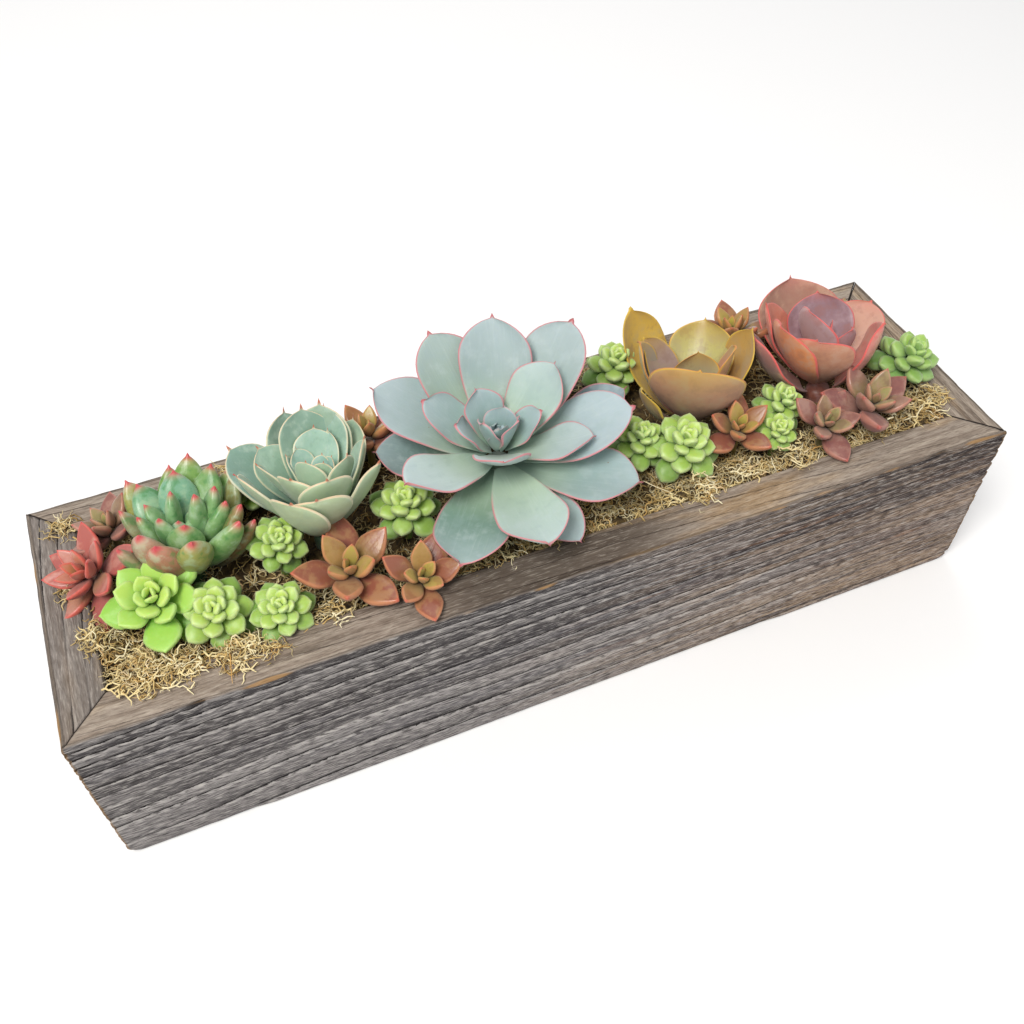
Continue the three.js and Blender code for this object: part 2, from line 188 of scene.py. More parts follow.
# worn is the radius of the rounded edges and corner that of the lower corners; rings are the widths of the
# year rings in the face and in the top, and climb is how many they shift for each millimetre of length
boards = {
    # node, outer length, seed, place of the inside face, turn, depth of the outer grain at both ends, and of
    # the top grain
    "places": [
        ("front_board", box["length"], 1, (0, -insideY), 180, (0.95, 1.4), 0.15),
        ("back_board", box["length"], 2, (0, insideY), 0, (1.3, 1.0), 0.15),
        ("left_board", box["width"], 3, (-insideX, 0), 90, (1.6, 1.6), 1.5),
        ("right_board", box["width"], 4, (insideX, 0), -90, (1.6, 1.6), 0.3),
    ],
    "stationEvery": 2.2, "faceRows": 150, "topRows": 24, "worn": 2.4, "mitreGap": 0.12, "corner": 11.0,
    "faceRing": 6.3, "ringGrowth": 0.1, "faceClimb": 0.004, "topRing": 9.0, "topClimb": 0.006,
    "firstFaceRing": 20.05, "firstTopRing": 40.1, "latewood": 0.93,
}


def fieldOf(x, z, seed):  # smooth noise, the same on every run
    return noise.noise(Vector((x, z, seed * 7.31)))


# Year rings counted from the top edge: they widen downwards and climb lengthwise.
def faceRing(x, down, seed):
    drift = 0.9 * fieldOf(x / 330, down / 60, seed) + 0.2 * fieldOf(x / 80, down / 16, seed + 3)
    drift += 0.55 * fieldOf(x / 300, down / 21, seed + 8)
    widening = math.log(1 + boards["ringGrowth"] * down / boards["faceRing"]) / boards["ringGrowth"]
    return boards["firstFaceRing"] + drift + boards["faceClimb"] * x - widening


def topRing(x, inward, seed):
    drift = 0.5 * fieldOf(x / 260, inward / 40, seed + 30) + 0.12 * fieldOf(x / 60, inward / 9, seed + 33)
    return boards["firstTopRing"] + drift - inward / boards["topRing"] + boards["topClimb"] * x


# 0 on a ridge of hard late wood, 1 at the bottom of a weathered groove: each ring ends in a sharp step.
def grainDepth(ring, x, z, seed):
    place = ring % 1
    if place < boards["latewood"]:
        groove = 0.7 * math.exp(-place / 0.15) + 0.45 * (1 - place) ** 1.5
    else:
        groove = (place - boards["latewood"]) / (1 - boards["latewood"])
    strength = min(max(0.7 + 1.5 * fieldOf(x / 170, z / 20, seed + 11), 0.15), 1)
    fray = 0.14 * fieldOf(x / 7, z / 1.6, seed + 5) + 0.08 * fieldOf(x / 40, z / 3, seed + 7)
    return min(max(groove * strength + fray, 0), 1)


# One cut through a board, once round. Each point is its distance from the inside face, its height, its ring,
# how far it belongs to the outer face, its wear, and its way round for the pattern of the grain.
def boardSection(middle, faceDepth, topDepth, seed):
    wall, height, worn = box["wall"], box["height"], boards["worn"]
    weathered = topDepth > 1  # such a top looks somewhat like a face and has a strip of fresh wood
    chip = worn * (0.75 + 0.5 * fieldOf(middle / 16, 0, seed + 20))  # the arris is worn unevenly
    section = []
    for z in np.linspace(worn, height - worn, boards["faceRows"]):
        ring = faceRing(middle, height - z, seed)
        section.append((wall - faceDepth * grainDepth(ring, middle, z, seed), z, ring, 1, 0, z))
    first, firstRing, last = section[0][0], section[0][2], section[-1][0]
    for k in range(1, 5):
        angle = k / 5 * math.pi / 2
        d, z = last - chip * (1 - math.cos(angle)), height - worn + worn * math.sin(angle)
        section.append((d, z, ring, 1 - k / 5, math.sin(2 * angle), height + k))
    for d in np.linspace(wall - worn, 0.8, boards["topRows"]):
        ring = topRing(middle, wall - d, seed)
        drop = topDepth * grainDepth(ring, middle, d + 40, seed + 30)
        drop += 0.5 * worn * max(0, 1 - (wall - worn - d) / 2.5) ** 2 * (1 - chip / worn / 1.3)
        strip = 1.3 * math.exp(-((wall - d - 5.5) / 1.4) ** 2) * (0.4 + fieldOf(middle / 25, 3, seed))
        section.append((min(d, last - chip), height - drop, ring, 0.42 if weathered else 0,
                        strip if weathered else 0, height + 10 + wall - d))
    for z in np.linspace(height - 1.2, 1, 8):
        section.append((0, z, ring, 0.5, 0, height + 40 + height - z))
    for d in np.linspace(0.5, wall - worn, 5):
        section.append((d, 0, ring, 0.5, 0, -d))
    for k in range(1, 4):
        angle = k / 4 * math.pi / 2
        d, z = first - worn + worn * math.sin(angle), worn - worn * math.cos(angle)
        section.append((d, z, firstRing, 1, 0.4, -k))
    return section


def buildBoard(node, length, seed, spot, turn, faceDepth, topDepth):
    wall, corner = box["wall"], boards["corner"]
    stations = max(int(length / boards["stationEvery"]), 40)
    points, grain, faces = [], [], []
    values = {key: [] for key in ("ring", "outer", "wear", "joint")}
    for step in range(stations + 1):
        reach = 2 * step / stations - 1
        middle = reach * (length / 2)
        section = boardSection(middle, between(faceDepth, step / stations), topDepth, seed)
        for d, z, ring, outer, edge, way in section:
            x = reach * (length / 2 - wall - boards["mitreGap"] + d)
            nearEnd = max(0, 1 - (length / 2 - abs(x)) / 2.8) if d > wall - 4 else 0
            beyond, below = abs(x) - (length / 2 - corner), corner - z
            if beyond > 0 and below > 0 and math.hypot(beyond, below) > corner:  # a worn lower corner
                x *= 1 - (beyond - corner * beyond / math.hypot(beyond, below)) / abs(x)
                z = corner * (1 - below / math.hypot(beyond, below))
            points.append((x, d, z))
            values["ring"].append(ring)
            values["outer"].append(outer)
            values["wear"].append(max(edge * (0.3 + 1.3 * fieldOf(middle / 18, z / 9, seed + 40)), nearEnd))
            values["joint"].append(1 if abs(reach) == 1 else 0)
            grain.append((x + seed * 613, way, seed * 3.7))  # no two boards get the same piece of the pattern
    around = len(section)
    for step in range(stations):
        for k in range(around):
            a, b = step * around + k, step * around + (k + 1) % around
            faces.append((a, b, b + around, a + around))
    faces.append(tuple(range(around - 1, -1, -1)))
    faces.append(tuple(stations * around + k for k in range(around)))
    shift = Matrix.Translation(Vector((*spot, 0)) * mm) @ Matrix.Rotation(math.radians(turn), 4, "Z")
    placed = [shift @ (Vector(p) * mm) for p in points]
    values["wear"] = np.clip(values["wear"], 0, 1)
    name = joined("weathered", *node.split("_"))
    return meshPiece(name, placed, faces, values, {"grainPlace": np.array(grain) * mm})


# Paints layers over a colour. Each is a colour, its strength, and where it shows: for every field named, the
# value at which it starts and the one at which it is full.
def paintOver(tree, colour, layers, fields):
    add = partial(addNode, tree)
    for code, amount, shown in layers:
        share = amount
        for key, (start, full) in shown.items():
            span = {0: fields[key], 1: start, 2: full}
            there = add("ShaderNodeMapRange", span, interpolation_type="SMOOTHSTEP")
            share = add("ShaderNodeMath", {0: there, 1: share}, operation="MULTIPLY")
        colour = add("ShaderNodeMix", {0: share, 6: colour, 7: code}, data_type="RGBA").outputs[2]
    return colour


# Faces: silvered grey on the left, brown and tan on the right, ring by ring lighter or darker, with painted
# shade darkening towards each groove and a painted highlight on the pale ridge below it.
faceLayers = [
    ("#7d695d", 0.75, {"right": (-0.02, 0.16)}),
    ("#40332e", 0.60, {"right": (0.02, 0.13), "height": (0.055, 0.082), "patch": (0.60, 0.46)}),
    ("#56545a", 0.45, {"patch": (0.50, 0.38), "left": (0.20, 0.05)}),
    ("#3b3738", 0.60, {"ringTone": (0.50, 0.95), "left": (0.22, 0.05)}),
    ("#aba6a3", 0.50, {"ringTone": (0.45, 0.00), "left": (0.22, 0.05)}),
    ("#a9794f", 0.50, {"right": (-0.05, 0.10), "streak": (0.58, 0.70)}),
    ("#33292a", 0.80, {"right": (0.0, 0.12), "band": (0.50, 0.40)}),
    ("#a8988c", 0.60, {"right": (-0.08, 0.06), "patch": (0.46, 0.58)}),
    ("#b39a82", 0.50, {"right": (-0.04, 0.12), "streak": (0.50, 0.42), "patch": (0.56, 0.50)}),
    ("#b59c80", 0.55, {"right": (-0.10, 0.08), "height": (0.05, 0.015), "grain": (0.44, 0.58)}),
    ("#a7a2a0", 0.35, {"height": (0.06, 0.01), "left": (0.15, -0.05)}),
    ("#353132", 0.35, {"height": (0.07, 0.11)}),
    # painted shade darkening towards each groove, then a painted highlight on the upward-facing ridge just
    # below it
    ("#332f30", 0.65, {"place": (0.62, 0.03), "band": (0.36, 0.58), "left": (0.25, 0.05)}),
    ("#bab5b1", 0.50, {"place": (0.78, 0.97), "left": (0.25, 0.05)}),
    ("#2b2627", 0.72, {"fibre": (0.50, 0.38)}),  # dark checks between fibres
    ("#cbc5be", 0.50, {"fibre": (0.52, 0.64)}),  # pale lifted fibres
]
topLayers = [  # smoother and warmer, with a few soft streaks
    ("#a39587", 0.92, {}),
    ("#7c6c5e", 0.50, {"grain": (0.52, 0.38)}),
    ("#bfb09e", 0.50, {"grain": (0.53, 0.68)}),
    ("#54463b", 0.60, {"streak": (0.48, 0.36)}),
    # darker over the middle of the box: partly painted shadow of the leaves above, partly darker weathered wood
    ("#3f352e", 0.72, {"right": (-0.11, -0.05), "left": (0.08, 0.02)}),
    ("#b3905f", 0.45, {"patch": (0.54, 0.66)}),
    ("#5a4d42", 0.40, {"fibre": (0.50, 0.38)}),
    ("#d3c7b7", 0.25, {"fibre": (0.53, 0.65)}),
]
edgeLayers = [  # the grooves, with a painted shadow line in each on the faces, the tan of fresh wood on worn edges, and the open joint
    # painted shadow line along the bottom of each groove on the faces
    ("#1c1819", 0.95, {"place": (0.15, 0.03), "band": (0.30, 0.46), "left": (0.40, 0.05), "outer": (0.1, 0.4)}),
    ("#2a211c", 0.75, {"place": (0.08, 0.02), "band": (0.40, 0.54), "outer": (0.6, 0.1)}),
    ("#ab8556", 0.80, {"wear": (0.45, 0.95)}),
    ("#1d1715", 0.95, {"joint": (0.45, 0.80), "outer": (0.5, 0.1)}),
]


def weatheredWood():
    # Pine fence board, sawn and left outdoors: silver-grey and dry, with thin grooves between raised ridges
    # (painted shade in the grooves, a painted highlight on each ridge), short lifted fibres all over, and tan
    # fresh wood where an edge is worn.
    material, tree = startMaterial("matWeatheredPine", {"Roughness": 0.88, "Specular IOR Level": 0.25})
    add = partial(addNode, tree)
    along = add("ShaderNodeAttribute", attribute_name="grainPlace").outputs["Vector"]
    fields = {}
    for name in ("outer", "wear", "joint", "ring"):
        fields[name] = add("ShaderNodeAttribute", attribute_name=name).outputs["Fac"]
    # fuzz of lifted fibre 0.8 mm by 6 mm, grain 3 mm by 60 mm, bands and streaks 9 mm by 110 mm, patches
    # 30 mm by 150 mm
    scales = {"fibre": ((160, 1300, 1300), 4), "grain": ((16, 330, 330), 4), "band": ((9, 110, 110), 2),
              "streak": ((7, 150, 150), 3), "patch": ((6.5, 34, 34), 3)}
    for name, (scale, detail) in scales.items():
        mapped = add("ShaderNodeMapping", {"Vector": along, "Scale": scale})
        cloud = {"Vector": mapped, "Scale": 1.0, "Detail": detail, "Roughness": 0.6}
        fields[name] = add("ShaderNodeTexNoise", cloud).outputs["Fac"]
    # a ring's edge frays with the fibres; its fraction is the place in the ring, its whole part picks a tone
    frayed = add("ShaderNodeMath", {0: fields["fibre"], 1: 0.16, 2: fields["ring"]}, operation="MULTIPLY_ADD")
    frayed = add("ShaderNodeMath", {0: frayed, 1: -0.08}, operation="ADD")
    fields["place"] = add("ShaderNodeMath", {0: frayed}, operation="FRACT")
    whole = add("ShaderNodeMath", {0: frayed}, operation="FLOOR")
    fields["ringTone"] = add("ShaderNodeTexWhiteNoise", {"W": whole}, noise_dimensions="1D").outputs["Value"]
    where = add("ShaderNodeSeparateXYZ", {"Vector": add("ShaderNodeTexCoord").outputs["Object"]})
    fields["right"] = fields["left"] = where.outputs["X"]
    fields["height"] = where.outputs["Z"]
    greys = {0: fields["grain"], 6: "#5b5759", 7: "#8f8a87"}
    colour = add("ShaderNodeMix", greys, data_type="RGBA").outputs[2]
    layers = [(code, amount, {**shown, "outer": (0.2, 0.6)}) for code, amount, shown in faceLayers]
    layers += [(code, amount, {**shown, "outer": (0.6, 0.1)}) for code, amount, shown in topLayers]
    colour = paintOver(tree, colour, layers + edgeLayers, fields)
    relief = add("ShaderNodeBump", {"Height": fields["fibre"], "Strength": 0.9, "Distance": 0.0012})
    finer = {"Height": fields["grain"], "Strength": 0.3, "Distance": 0.0006, "Normal": relief}
    wireShader(tree, colour, add("ShaderNodeBump", finer))
    return material


woodFinish = weatheredWood()
for row in boards["places"]:
    place(buildBoard(*row), woodFinish, "weathered_board", row[0])
print("boards ready")


def looseGround(name, dark, light, crumb):
    # Damp potting mix, packed moss or plain sawn plank: matte, and only seen in the depths or from below.
    material, tree = startMaterial(name, {"Roughness": 0.95})
    add = partial(addNode, tree)
    where = add("ShaderNodeTexCoord").outputs["Object"]
    spread = add("ShaderNodeMapping", {"Vector": where, "Scale": crumb})
    grit = add("ShaderNodeTexNoise", {"Vector": spread, "Scale": 1.0, "Detail": 6}).outputs["Fac"]
    share = add("ShaderNodeMapRange", {0: grit, 1: 0.35, 2: 0.65})
    colour = add("ShaderNodeMix", {0: share, 6: dark, 7: light}, data_type="RGBA").outputs[2]
    wireShader(tree, colour, add("ShaderNodeBump", {"Height": grit, "Strength": 0.8, "Distance": 0.001}))
    return material


grounds = {  # crumbs of 3 mm in the soil; saw marks of 3 mm across the plank, 50 mm along it
    "soil": ("matPottingMix", "#1d1510", "#4a3728", (330, 330, 330)),
    "floor_board": ("matSawnPlank", "#6b5238", "#a98a62", (20, 330, 330)),
}
for node, look in grounds.items():
    solid = frame["nodes"][node]
    solid.data.materials.clear()
    solid.data.materials.append(looseGround(*look))

# Each kind's leaf: the neck's width, where it is widest, the two powers that round it off, how far its rims
# rise, how deep its keel hangs, where the blade ends and the point begins, the point's width, how full the rim
# is (less than 1 is fuller), and the wave of the rim in millimetres.
leafForms = {
    "blue": (0.25, 0.66, (2.2, 0.68), 0.26, 0.05, 0.965, 0.06, 0.72, 1.6),
    "pale": (0.22, 0.68, (2.3, 0.64), 0.22, 0.15, 0.94, 0.07, 0.75, 0.6),
    "cup": (0.3, 0.6, (2.4, 0.62), 0.34, 0, 0.96, 0.06, 0.6, 1.3),
    "tipped": (0.42, 0.56, (2.1, 0.78), 0.05, 0.25, 0.97, 0.1, 0.95, 0),
    "bronze": (0.4, 0.5, (1.5, 0.86), 0.2, 0.5, 0.985, 0.06, 0.75, 0),
    "ruby": (0.42, 0.5, (1.5, 0.84), 0.24, 0.5, 0.985, 0.06, 0.75, 0),
    "stonecrop": (0.36, 0.58, (1.9, 0.74), 0.06, 0.2, 0.97, 0.12, 0.85, 0),
    "spoon": (0.36, 0.58, (1.6, 0.8), 0.14, 0.3, 0.97, 0.1, 0.8, 0),
}
# Pairs run from the innermost leaf to the outermost. width is a share of the length, thick a share of the
# width, pitch the angle of the leaf's chord above the plane of the rosette; root and rise place its foot.
kinds = {
    "blue": {"thick": 0.1, "root": (1, 9), "rise": (12, 0), "bend": (10, 30), "roll": 5, "stem": 8},
    "pale": {"thick": 0.14, "root": (2, 10), "rise": (18, 0), "bend": (8, 26), "roll": 13, "stem": 6},
    "cup": {"thick": 0.08, "root": (1, 10), "rise": (16, 0), "bend": (10, 55), "roll": 7, "stem": 7},
    "tipped": {"thick": 0.6, "root": (2, 13), "rise": (15, 0), "bend": (6, 30), "roll": 7, "stem": 6},
    "bronze": {
        "thick": 0.46, "root": (0.8, 3.6), "rise": (6, 0), "bend": (10, 30), "count": 11, "pitch": (82, 18),
        "pitchCurve": 0.85, "length": (8, 24), "lengthCurve": 0.8, "width": (0.56, 0.6), "variants": 6,
        "rings": 13, "around": 14,
    },
    "ruby": {
        "thick": 0.4, "root": (0.8, 3.8), "rise": (7, -2), "bend": (10, 34), "count": 16, "pitch": (82, 4),
        "pitchCurve": 0.9, "length": (8, 25), "lengthCurve": 0.75, "width": (0.5, 0.52), "variants": 7,
        "rings": 13, "around": 14,
    },
    "stonecrop": {
        "thick": 0.64, "root": (0.8, 4.6), "rise": (9, -5), "bend": (8, 36), "count": 25, "pitch": (86, -14),
        "pitchCurve": 0.8, "length": (4.4, 14.8), "lengthCurve": 0.7, "width": (0.84, 0.8), "variants": 5,
        "rings": 9, "around": 12,
    },
    "spoon": {
        "thick": 0.42, "root": (0.8, 4.2), "rise": (9, -1), "bend": (10, 34), "count": 19, "pitch": (86, 4),
        "pitchCurve": 0.9, "length": (4.2, 16.5), "lengthCurve": 0.85, "width": (0.8, 0.82), "variants": 7,
        "rings": 11, "around": 14,
    },
}
goldenTurn = 137.508  # degrees from one leaf of a head to the next
openLeaf = {"rings": 26, "around": 24, "leastThick": 1.6}  # the grid of each leaf of an open rosette
stem = {"foot": 82, "sides": 16, "headSides": 10, "headRadius": 2.6, "slim": 0.8}  # the foot is in the soil

# The open rosettes leaf by leaf, from the bud outwards: turn and pitch in degrees, length and width.
handLeaves = {
    "blue_rosette": [
        (20, 86, 14, 10), (150, 83, 16, 12), (275, 81, 18, 13), (60, 76, 24, 19), (200, 74, 24, 18),
        (-45, 72, 26, 19), (106, 60, 34, 24), (-5, 52, 32, 20), (170, 54, 32, 20), (-108, 42, 40, 30),
        (25, 42, 54, 33), (140, 36, 46, 30), (-30, 21, 50, 28), (-160, 18, 58, 34), (69, 43, 72, 40),
        (104, 39, 72, 38), (29, 36, 80, 42), (138, 26, 72, 40), (-12, 19, 72, 42), (-92, 9, 68, 37),
        (-38, 1, 72, 38), (-127, 0, 68, 40), (160, 8, 60, 32), (-72, -7, 60, 27), (4, 13, 76, 32),
    ],
    "pale_rosette": [
        (60, 84, 24, 11), (-120, 90, 24, 12), (20, 82, 26, 13), (115, 65, 30, 14), (-139, 80, 29, 20),
        (154, 64, 30, 11), (48, 65, 39, 14), (85, 67, 41, 23), (-174, 52, 40, 15), (-142, 58, 36, 27),
        (-51, 71, 40, 20), (126, 54, 44, 26), (-86, 57, 43, 28), (-7, 66, 45, 20), (54, 66, 56, 27),
        (101, 71, 57, 31), (-100, 46, 49, 33), (-43, 57, 49, 22), (-167, 50, 54, 24), (134, 40, 57, 32),
        (-128, 48, 51, 30), (36, 61, 56, 24), (117, 62, 62, 32), (64, 73, 64, 32),
    ],
    "tipped_rosette": [
        (28, 77, 15, 8), (-50, 75, 18, 9), (158, 88, 28, 12), (-55, 68, 24, 15), (-110, 73, 21, 10),
        (149, 57, 26, 11), (-145, 68, 27, 13), (-22, 82, 34, 15), (89, 66, 36, 20), (0, 71, 36, 15),
        (-31, 60, 33, 16), (-179, 62, 29, 12), (-100, 66, 31, 18), (124, 52, 37, 19), (52, 60, 41, 17),
        (-17, 54, 37, 15), (160, 52, 34, 12), (-53, 50, 39, 18), (-82, 51, 42, 18), (-135, 58, 39, 20),
        (-111, 54, 38, 20), (41, 52, 42, 15), (99, 64, 43, 16), (77, 63, 48, 19), (120, 58, 44, 17),
        (-157, 50, 37, 13), (-22, 50, 36, 13), (25, 60, 42, 16),
    ],
    "amber_rosette": [
        (20, 88, 18, 10), (-155, 76, 20, 10), (147, 52, 25, 9), (66, 86, 31, 26), (-39, 72, 46, 24),
        (125, 54, 47, 28), (46, 51, 51, 38), (-122, 65, 51, 52), (147, 62, 55, 26), (-7, 66, 58, 30),
        (-173, 49, 51, 18), (112, 52, 69, 36),
    ],
    "rose_rosette": [
        (50, 62, 17, 8), (-93, 95, 18, 8), (-26, 94, 29, 12), (-178, 73, 43, 34), (65, 62, 44, 38),
        (-76, 77, 37, 20), (30, 28, 56, 34), (-135, 56, 52, 40), (-178, 56, 56, 38), (135, 58, 57, 30),
        (-45, 68, 51, 34), (88, 46, 64, 56), (172, 47, 60, 36),
    ],
}

# Node, kind, finish, the crown where the stem meets the leaves, the lean's direction and tilt, the turn of the
# first leaf, size.
plants = [
    ("blue_rosette", "blue", "blue", (-20, 0, 129), (0, 0), 0, 0.96),
    ("pale_rosette", "pale", "pale", (-114, 6, 110), (67, 20), 0, 1),
    ("tipped_rosette", "tipped", "tipped", (-181, 10, 110), (67, 15), 0, 1),
    ("amber_rosette", "cup", "amber", (100, 7, 106), (67, 10), 0, 1),
    ("rose_rosette", "cup", "rose", (183, 4, 106), (67, 10), 0, 1),
    ("bronze_rosette_1", "ruby", "ruby", (-225, 13, 118), (-165, 32), 0, 1.15),
    ("bronze_rosette_2", "bronze", "bronze", (-213, 38, 117), (150, 14), 60, 1),
    ("bronze_rosette_3", "bronze", "copper", (-111, -33, 117), (-95, 12), 144, 1.25),
    ("bronze_rosette_4", "bronze", "copper", (-80, -48, 115), (-80, 20), 113, 1.02),
    ("bronze_rosette_5", "bronze", "copper", (112, -20, 117), (-90, 14), 262, 0.95),
    ("bronze_rosette_6", "bronze", "bronze", (159, -34, 116), (-100, 16), 107, 1),
    ("bronze_rosette_7", "bronze", "bronze", (189, -32, 117), (-60, 12), 220, 1.2),
    ("bronze_rosette_8", "bronze", "copper", (-76, 46, 122), (90, 8), 0, 1.05),
    ("bronze_rosette_9", "bronze", "copper", (146, 46, 121), (110, 10), 50, 1.05),
    ("bronze_rosette_10", "bronze", "bronze", (226, 45, 111), (45, 30), 15, 0.82),
    ("stonecrop_head_1", "spoon", "lime", (-200, -17, 121), (-100, 20), 0, 1.45),
    ("stonecrop_head_2", "stonecrop", "stonecrop", (-176, -31, 119), (-95, 24), 40, 1.12),
    ("stonecrop_head_3", "stonecrop", "stonecrop", (-147, -42, 120), (-90, 18), 90, 0.95),
    ("stonecrop_head_4", "stonecrop", "stonecrop", (-139, -6, 125), (-70, 26), 10, 0.92),
    ("stonecrop_head_5", "stonecrop", "stonecrop", (-73, -5, 122), (-95, 14), 70, 1.12),
    ("stonecrop_head_6", "stonecrop", "stonecrop", (69, 45, 127), (-90, 12), 120, 1),
    ("stonecrop_head_7", "stonecrop", "stonecrop", (58, -8, 121), (-80, 16), 25, 0.95),
    ("stonecrop_head_8", "stonecrop", "stonecrop", (78, -21, 122), (-95, 18), 65, 1.2),
    ("stonecrop_head_9", "stonecrop", "stonecrop", (143, -13, 122), (-60, 18), 5, 0.88),
    ("stonecrop_head_10", "stonecrop", "stonecrop", (132, -28, 118), (-100, 22), 55, 0.78),
    ("stonecrop_head_11", "stonecrop", "seaGreen", (226, -13, 126), (-60, 16), 80, 1.15),
    ("stonecrop_head_12", "stonecrop", "stonecrop", (-142, 43, 116), (90, 10), 35, 0.95),
    ("stonecrop_head_13", "stonecrop", "stonecrop", (4, 43, 117), (90, 8), 15, 0.95),
]


# One closed leaf in millimetres, root at the origin, growing along +x with its upper face towards +z.
def leafShell(kindName, leaf, rings, around):
    neck, belly, (power, fall), cup, keel, body, point, edge, ripple = leafForms[kindName]
    steps = np.linspace(0, 1, rings + 1)[1:-1]
    steps = steps - 0.085 * np.sin(2 * math.pi * steps)  # rings stand closer at the root and the tip
    along, turn = np.meshgrid(steps, np.linspace(0, 2 * math.pi, around, endpoint=False), indexing="ij")
    along, turn = along.ravel(), turn.ravel()
    # share of the greatest half-width: a swelling neck, a rounded blade, a short point
    swell = neck + (1 - neck) * np.sin(np.clip(along / belly, 0, 1) * math.pi / 2)
    blade = (1 - np.clip((along - belly) / (body - belly), 0, 1) ** power) ** fall
    spike = point * np.clip((1 - along) / (1 - body), 0, 1) * (along > belly)
    share = np.maximum(np.where(along < belly, swell, blade), spike)
    half = leaf["width"] / 2 * share
    side = np.cos(turn)
    up = np.sign(np.sin(turn)) * np.abs(np.sin(turn)) ** edge
    thick = leaf["thick"] / 2 * np.sqrt(share) * (1 - 0.45 * along ** 3)
    offset = cup * half * side ** 2 + thick * up - np.where(up < 0, keel * thick * (1 - np.abs(side)), 0)
    offset += ripple * np.abs(side) ** 3 * along * np.sin(along * 11 + leaf["phase"] + np.sign(side) * 1.3)
    length, bend = leaf["length"], math.radians(leaf["bend"])
    first = math.radians(leaf["pitch"]) - bend / 2
    last = first + bend
    reach = length / bend  # the leaf's middle line is an arc of this radius
    angle = first + bend * along
    x = reach * (np.sin(angle) - math.sin(first)) - offset * np.sin(angle)
    y = half * side + leaf["sway"] * length * along ** 2
    z = reach * (math.cos(first) - np.cos(angle)) + offset * np.cos(angle)
    tip = (reach * (math.sin(last) - math.sin(first)), leaf["sway"] * length,
           reach * (math.cos(first) - math.cos(last)))
    points = np.vstack([[0, 0, 0], np.stack([x, y, z], 1), tip])
    faces = []
    for k in range(around):
        following = (k + 1) % around
        faces.append((0, 1 + following, 1 + k))
        for ring in range(rings - 2):
            a, b = 1 + ring * around + k, 1 + ring * around + following
            faces.append((a, b, b + around, a + around))
        end = 1 + (rings - 2) * around
        faces.append((end + k, end + following, len(points) - 1))
    values = {
        "along": np.concatenate([[0], along, [1]]),
        # 1 at the rim, about a third a millimetre in from it
        "rim": np.concatenate([[0], np.exp(-(1 - np.abs(side)) * half), [1]]),
        "under": np.concatenate([[0], np.clip(-up, 0, 1), [0]]),
    }
    vein = np.stack([along * length, half * side, 0 * along + leaf["phase"] * 5], 1)
    return points, faces, values, np.vstack([vein[0], vein, vein[-1]])


# A tube of round section along a row of points, closed at both ends.
def tubeShell(path, radii, sides):
    path = [Vector(p) for p in path]
    rows = []
    for i, (point, radius) in enumerate(zip(path, radii)):
        ahead = (path[min(i + 1, len(path) - 1)] - path[max(i - 1, 0)]).normalized()
        across = ahead.orthogonal() if i == 0 else across - ahead * across.dot(ahead)
        across = across.normalized()
        other = ahead.cross(across)
        for k in range(sides):
            angle = 2 * math.pi * k / sides
            rows.append(point + radius * (math.cos(angle) * across + math.sin(angle) * other))
    faces = [tuple(range(sides - 1, -1, -1))]
    for i in range(len(path) - 1):
        for k in range(sides):
            a, b = i * sides + k, i * sides + (k + 1) % sides
            faces.append((a, b, b + sides, a + sides))
    faces.append(tuple((len(path) - 1) * sides + k for k in range(sides)))
    return np.array([tuple(p) for p in rows]), faces


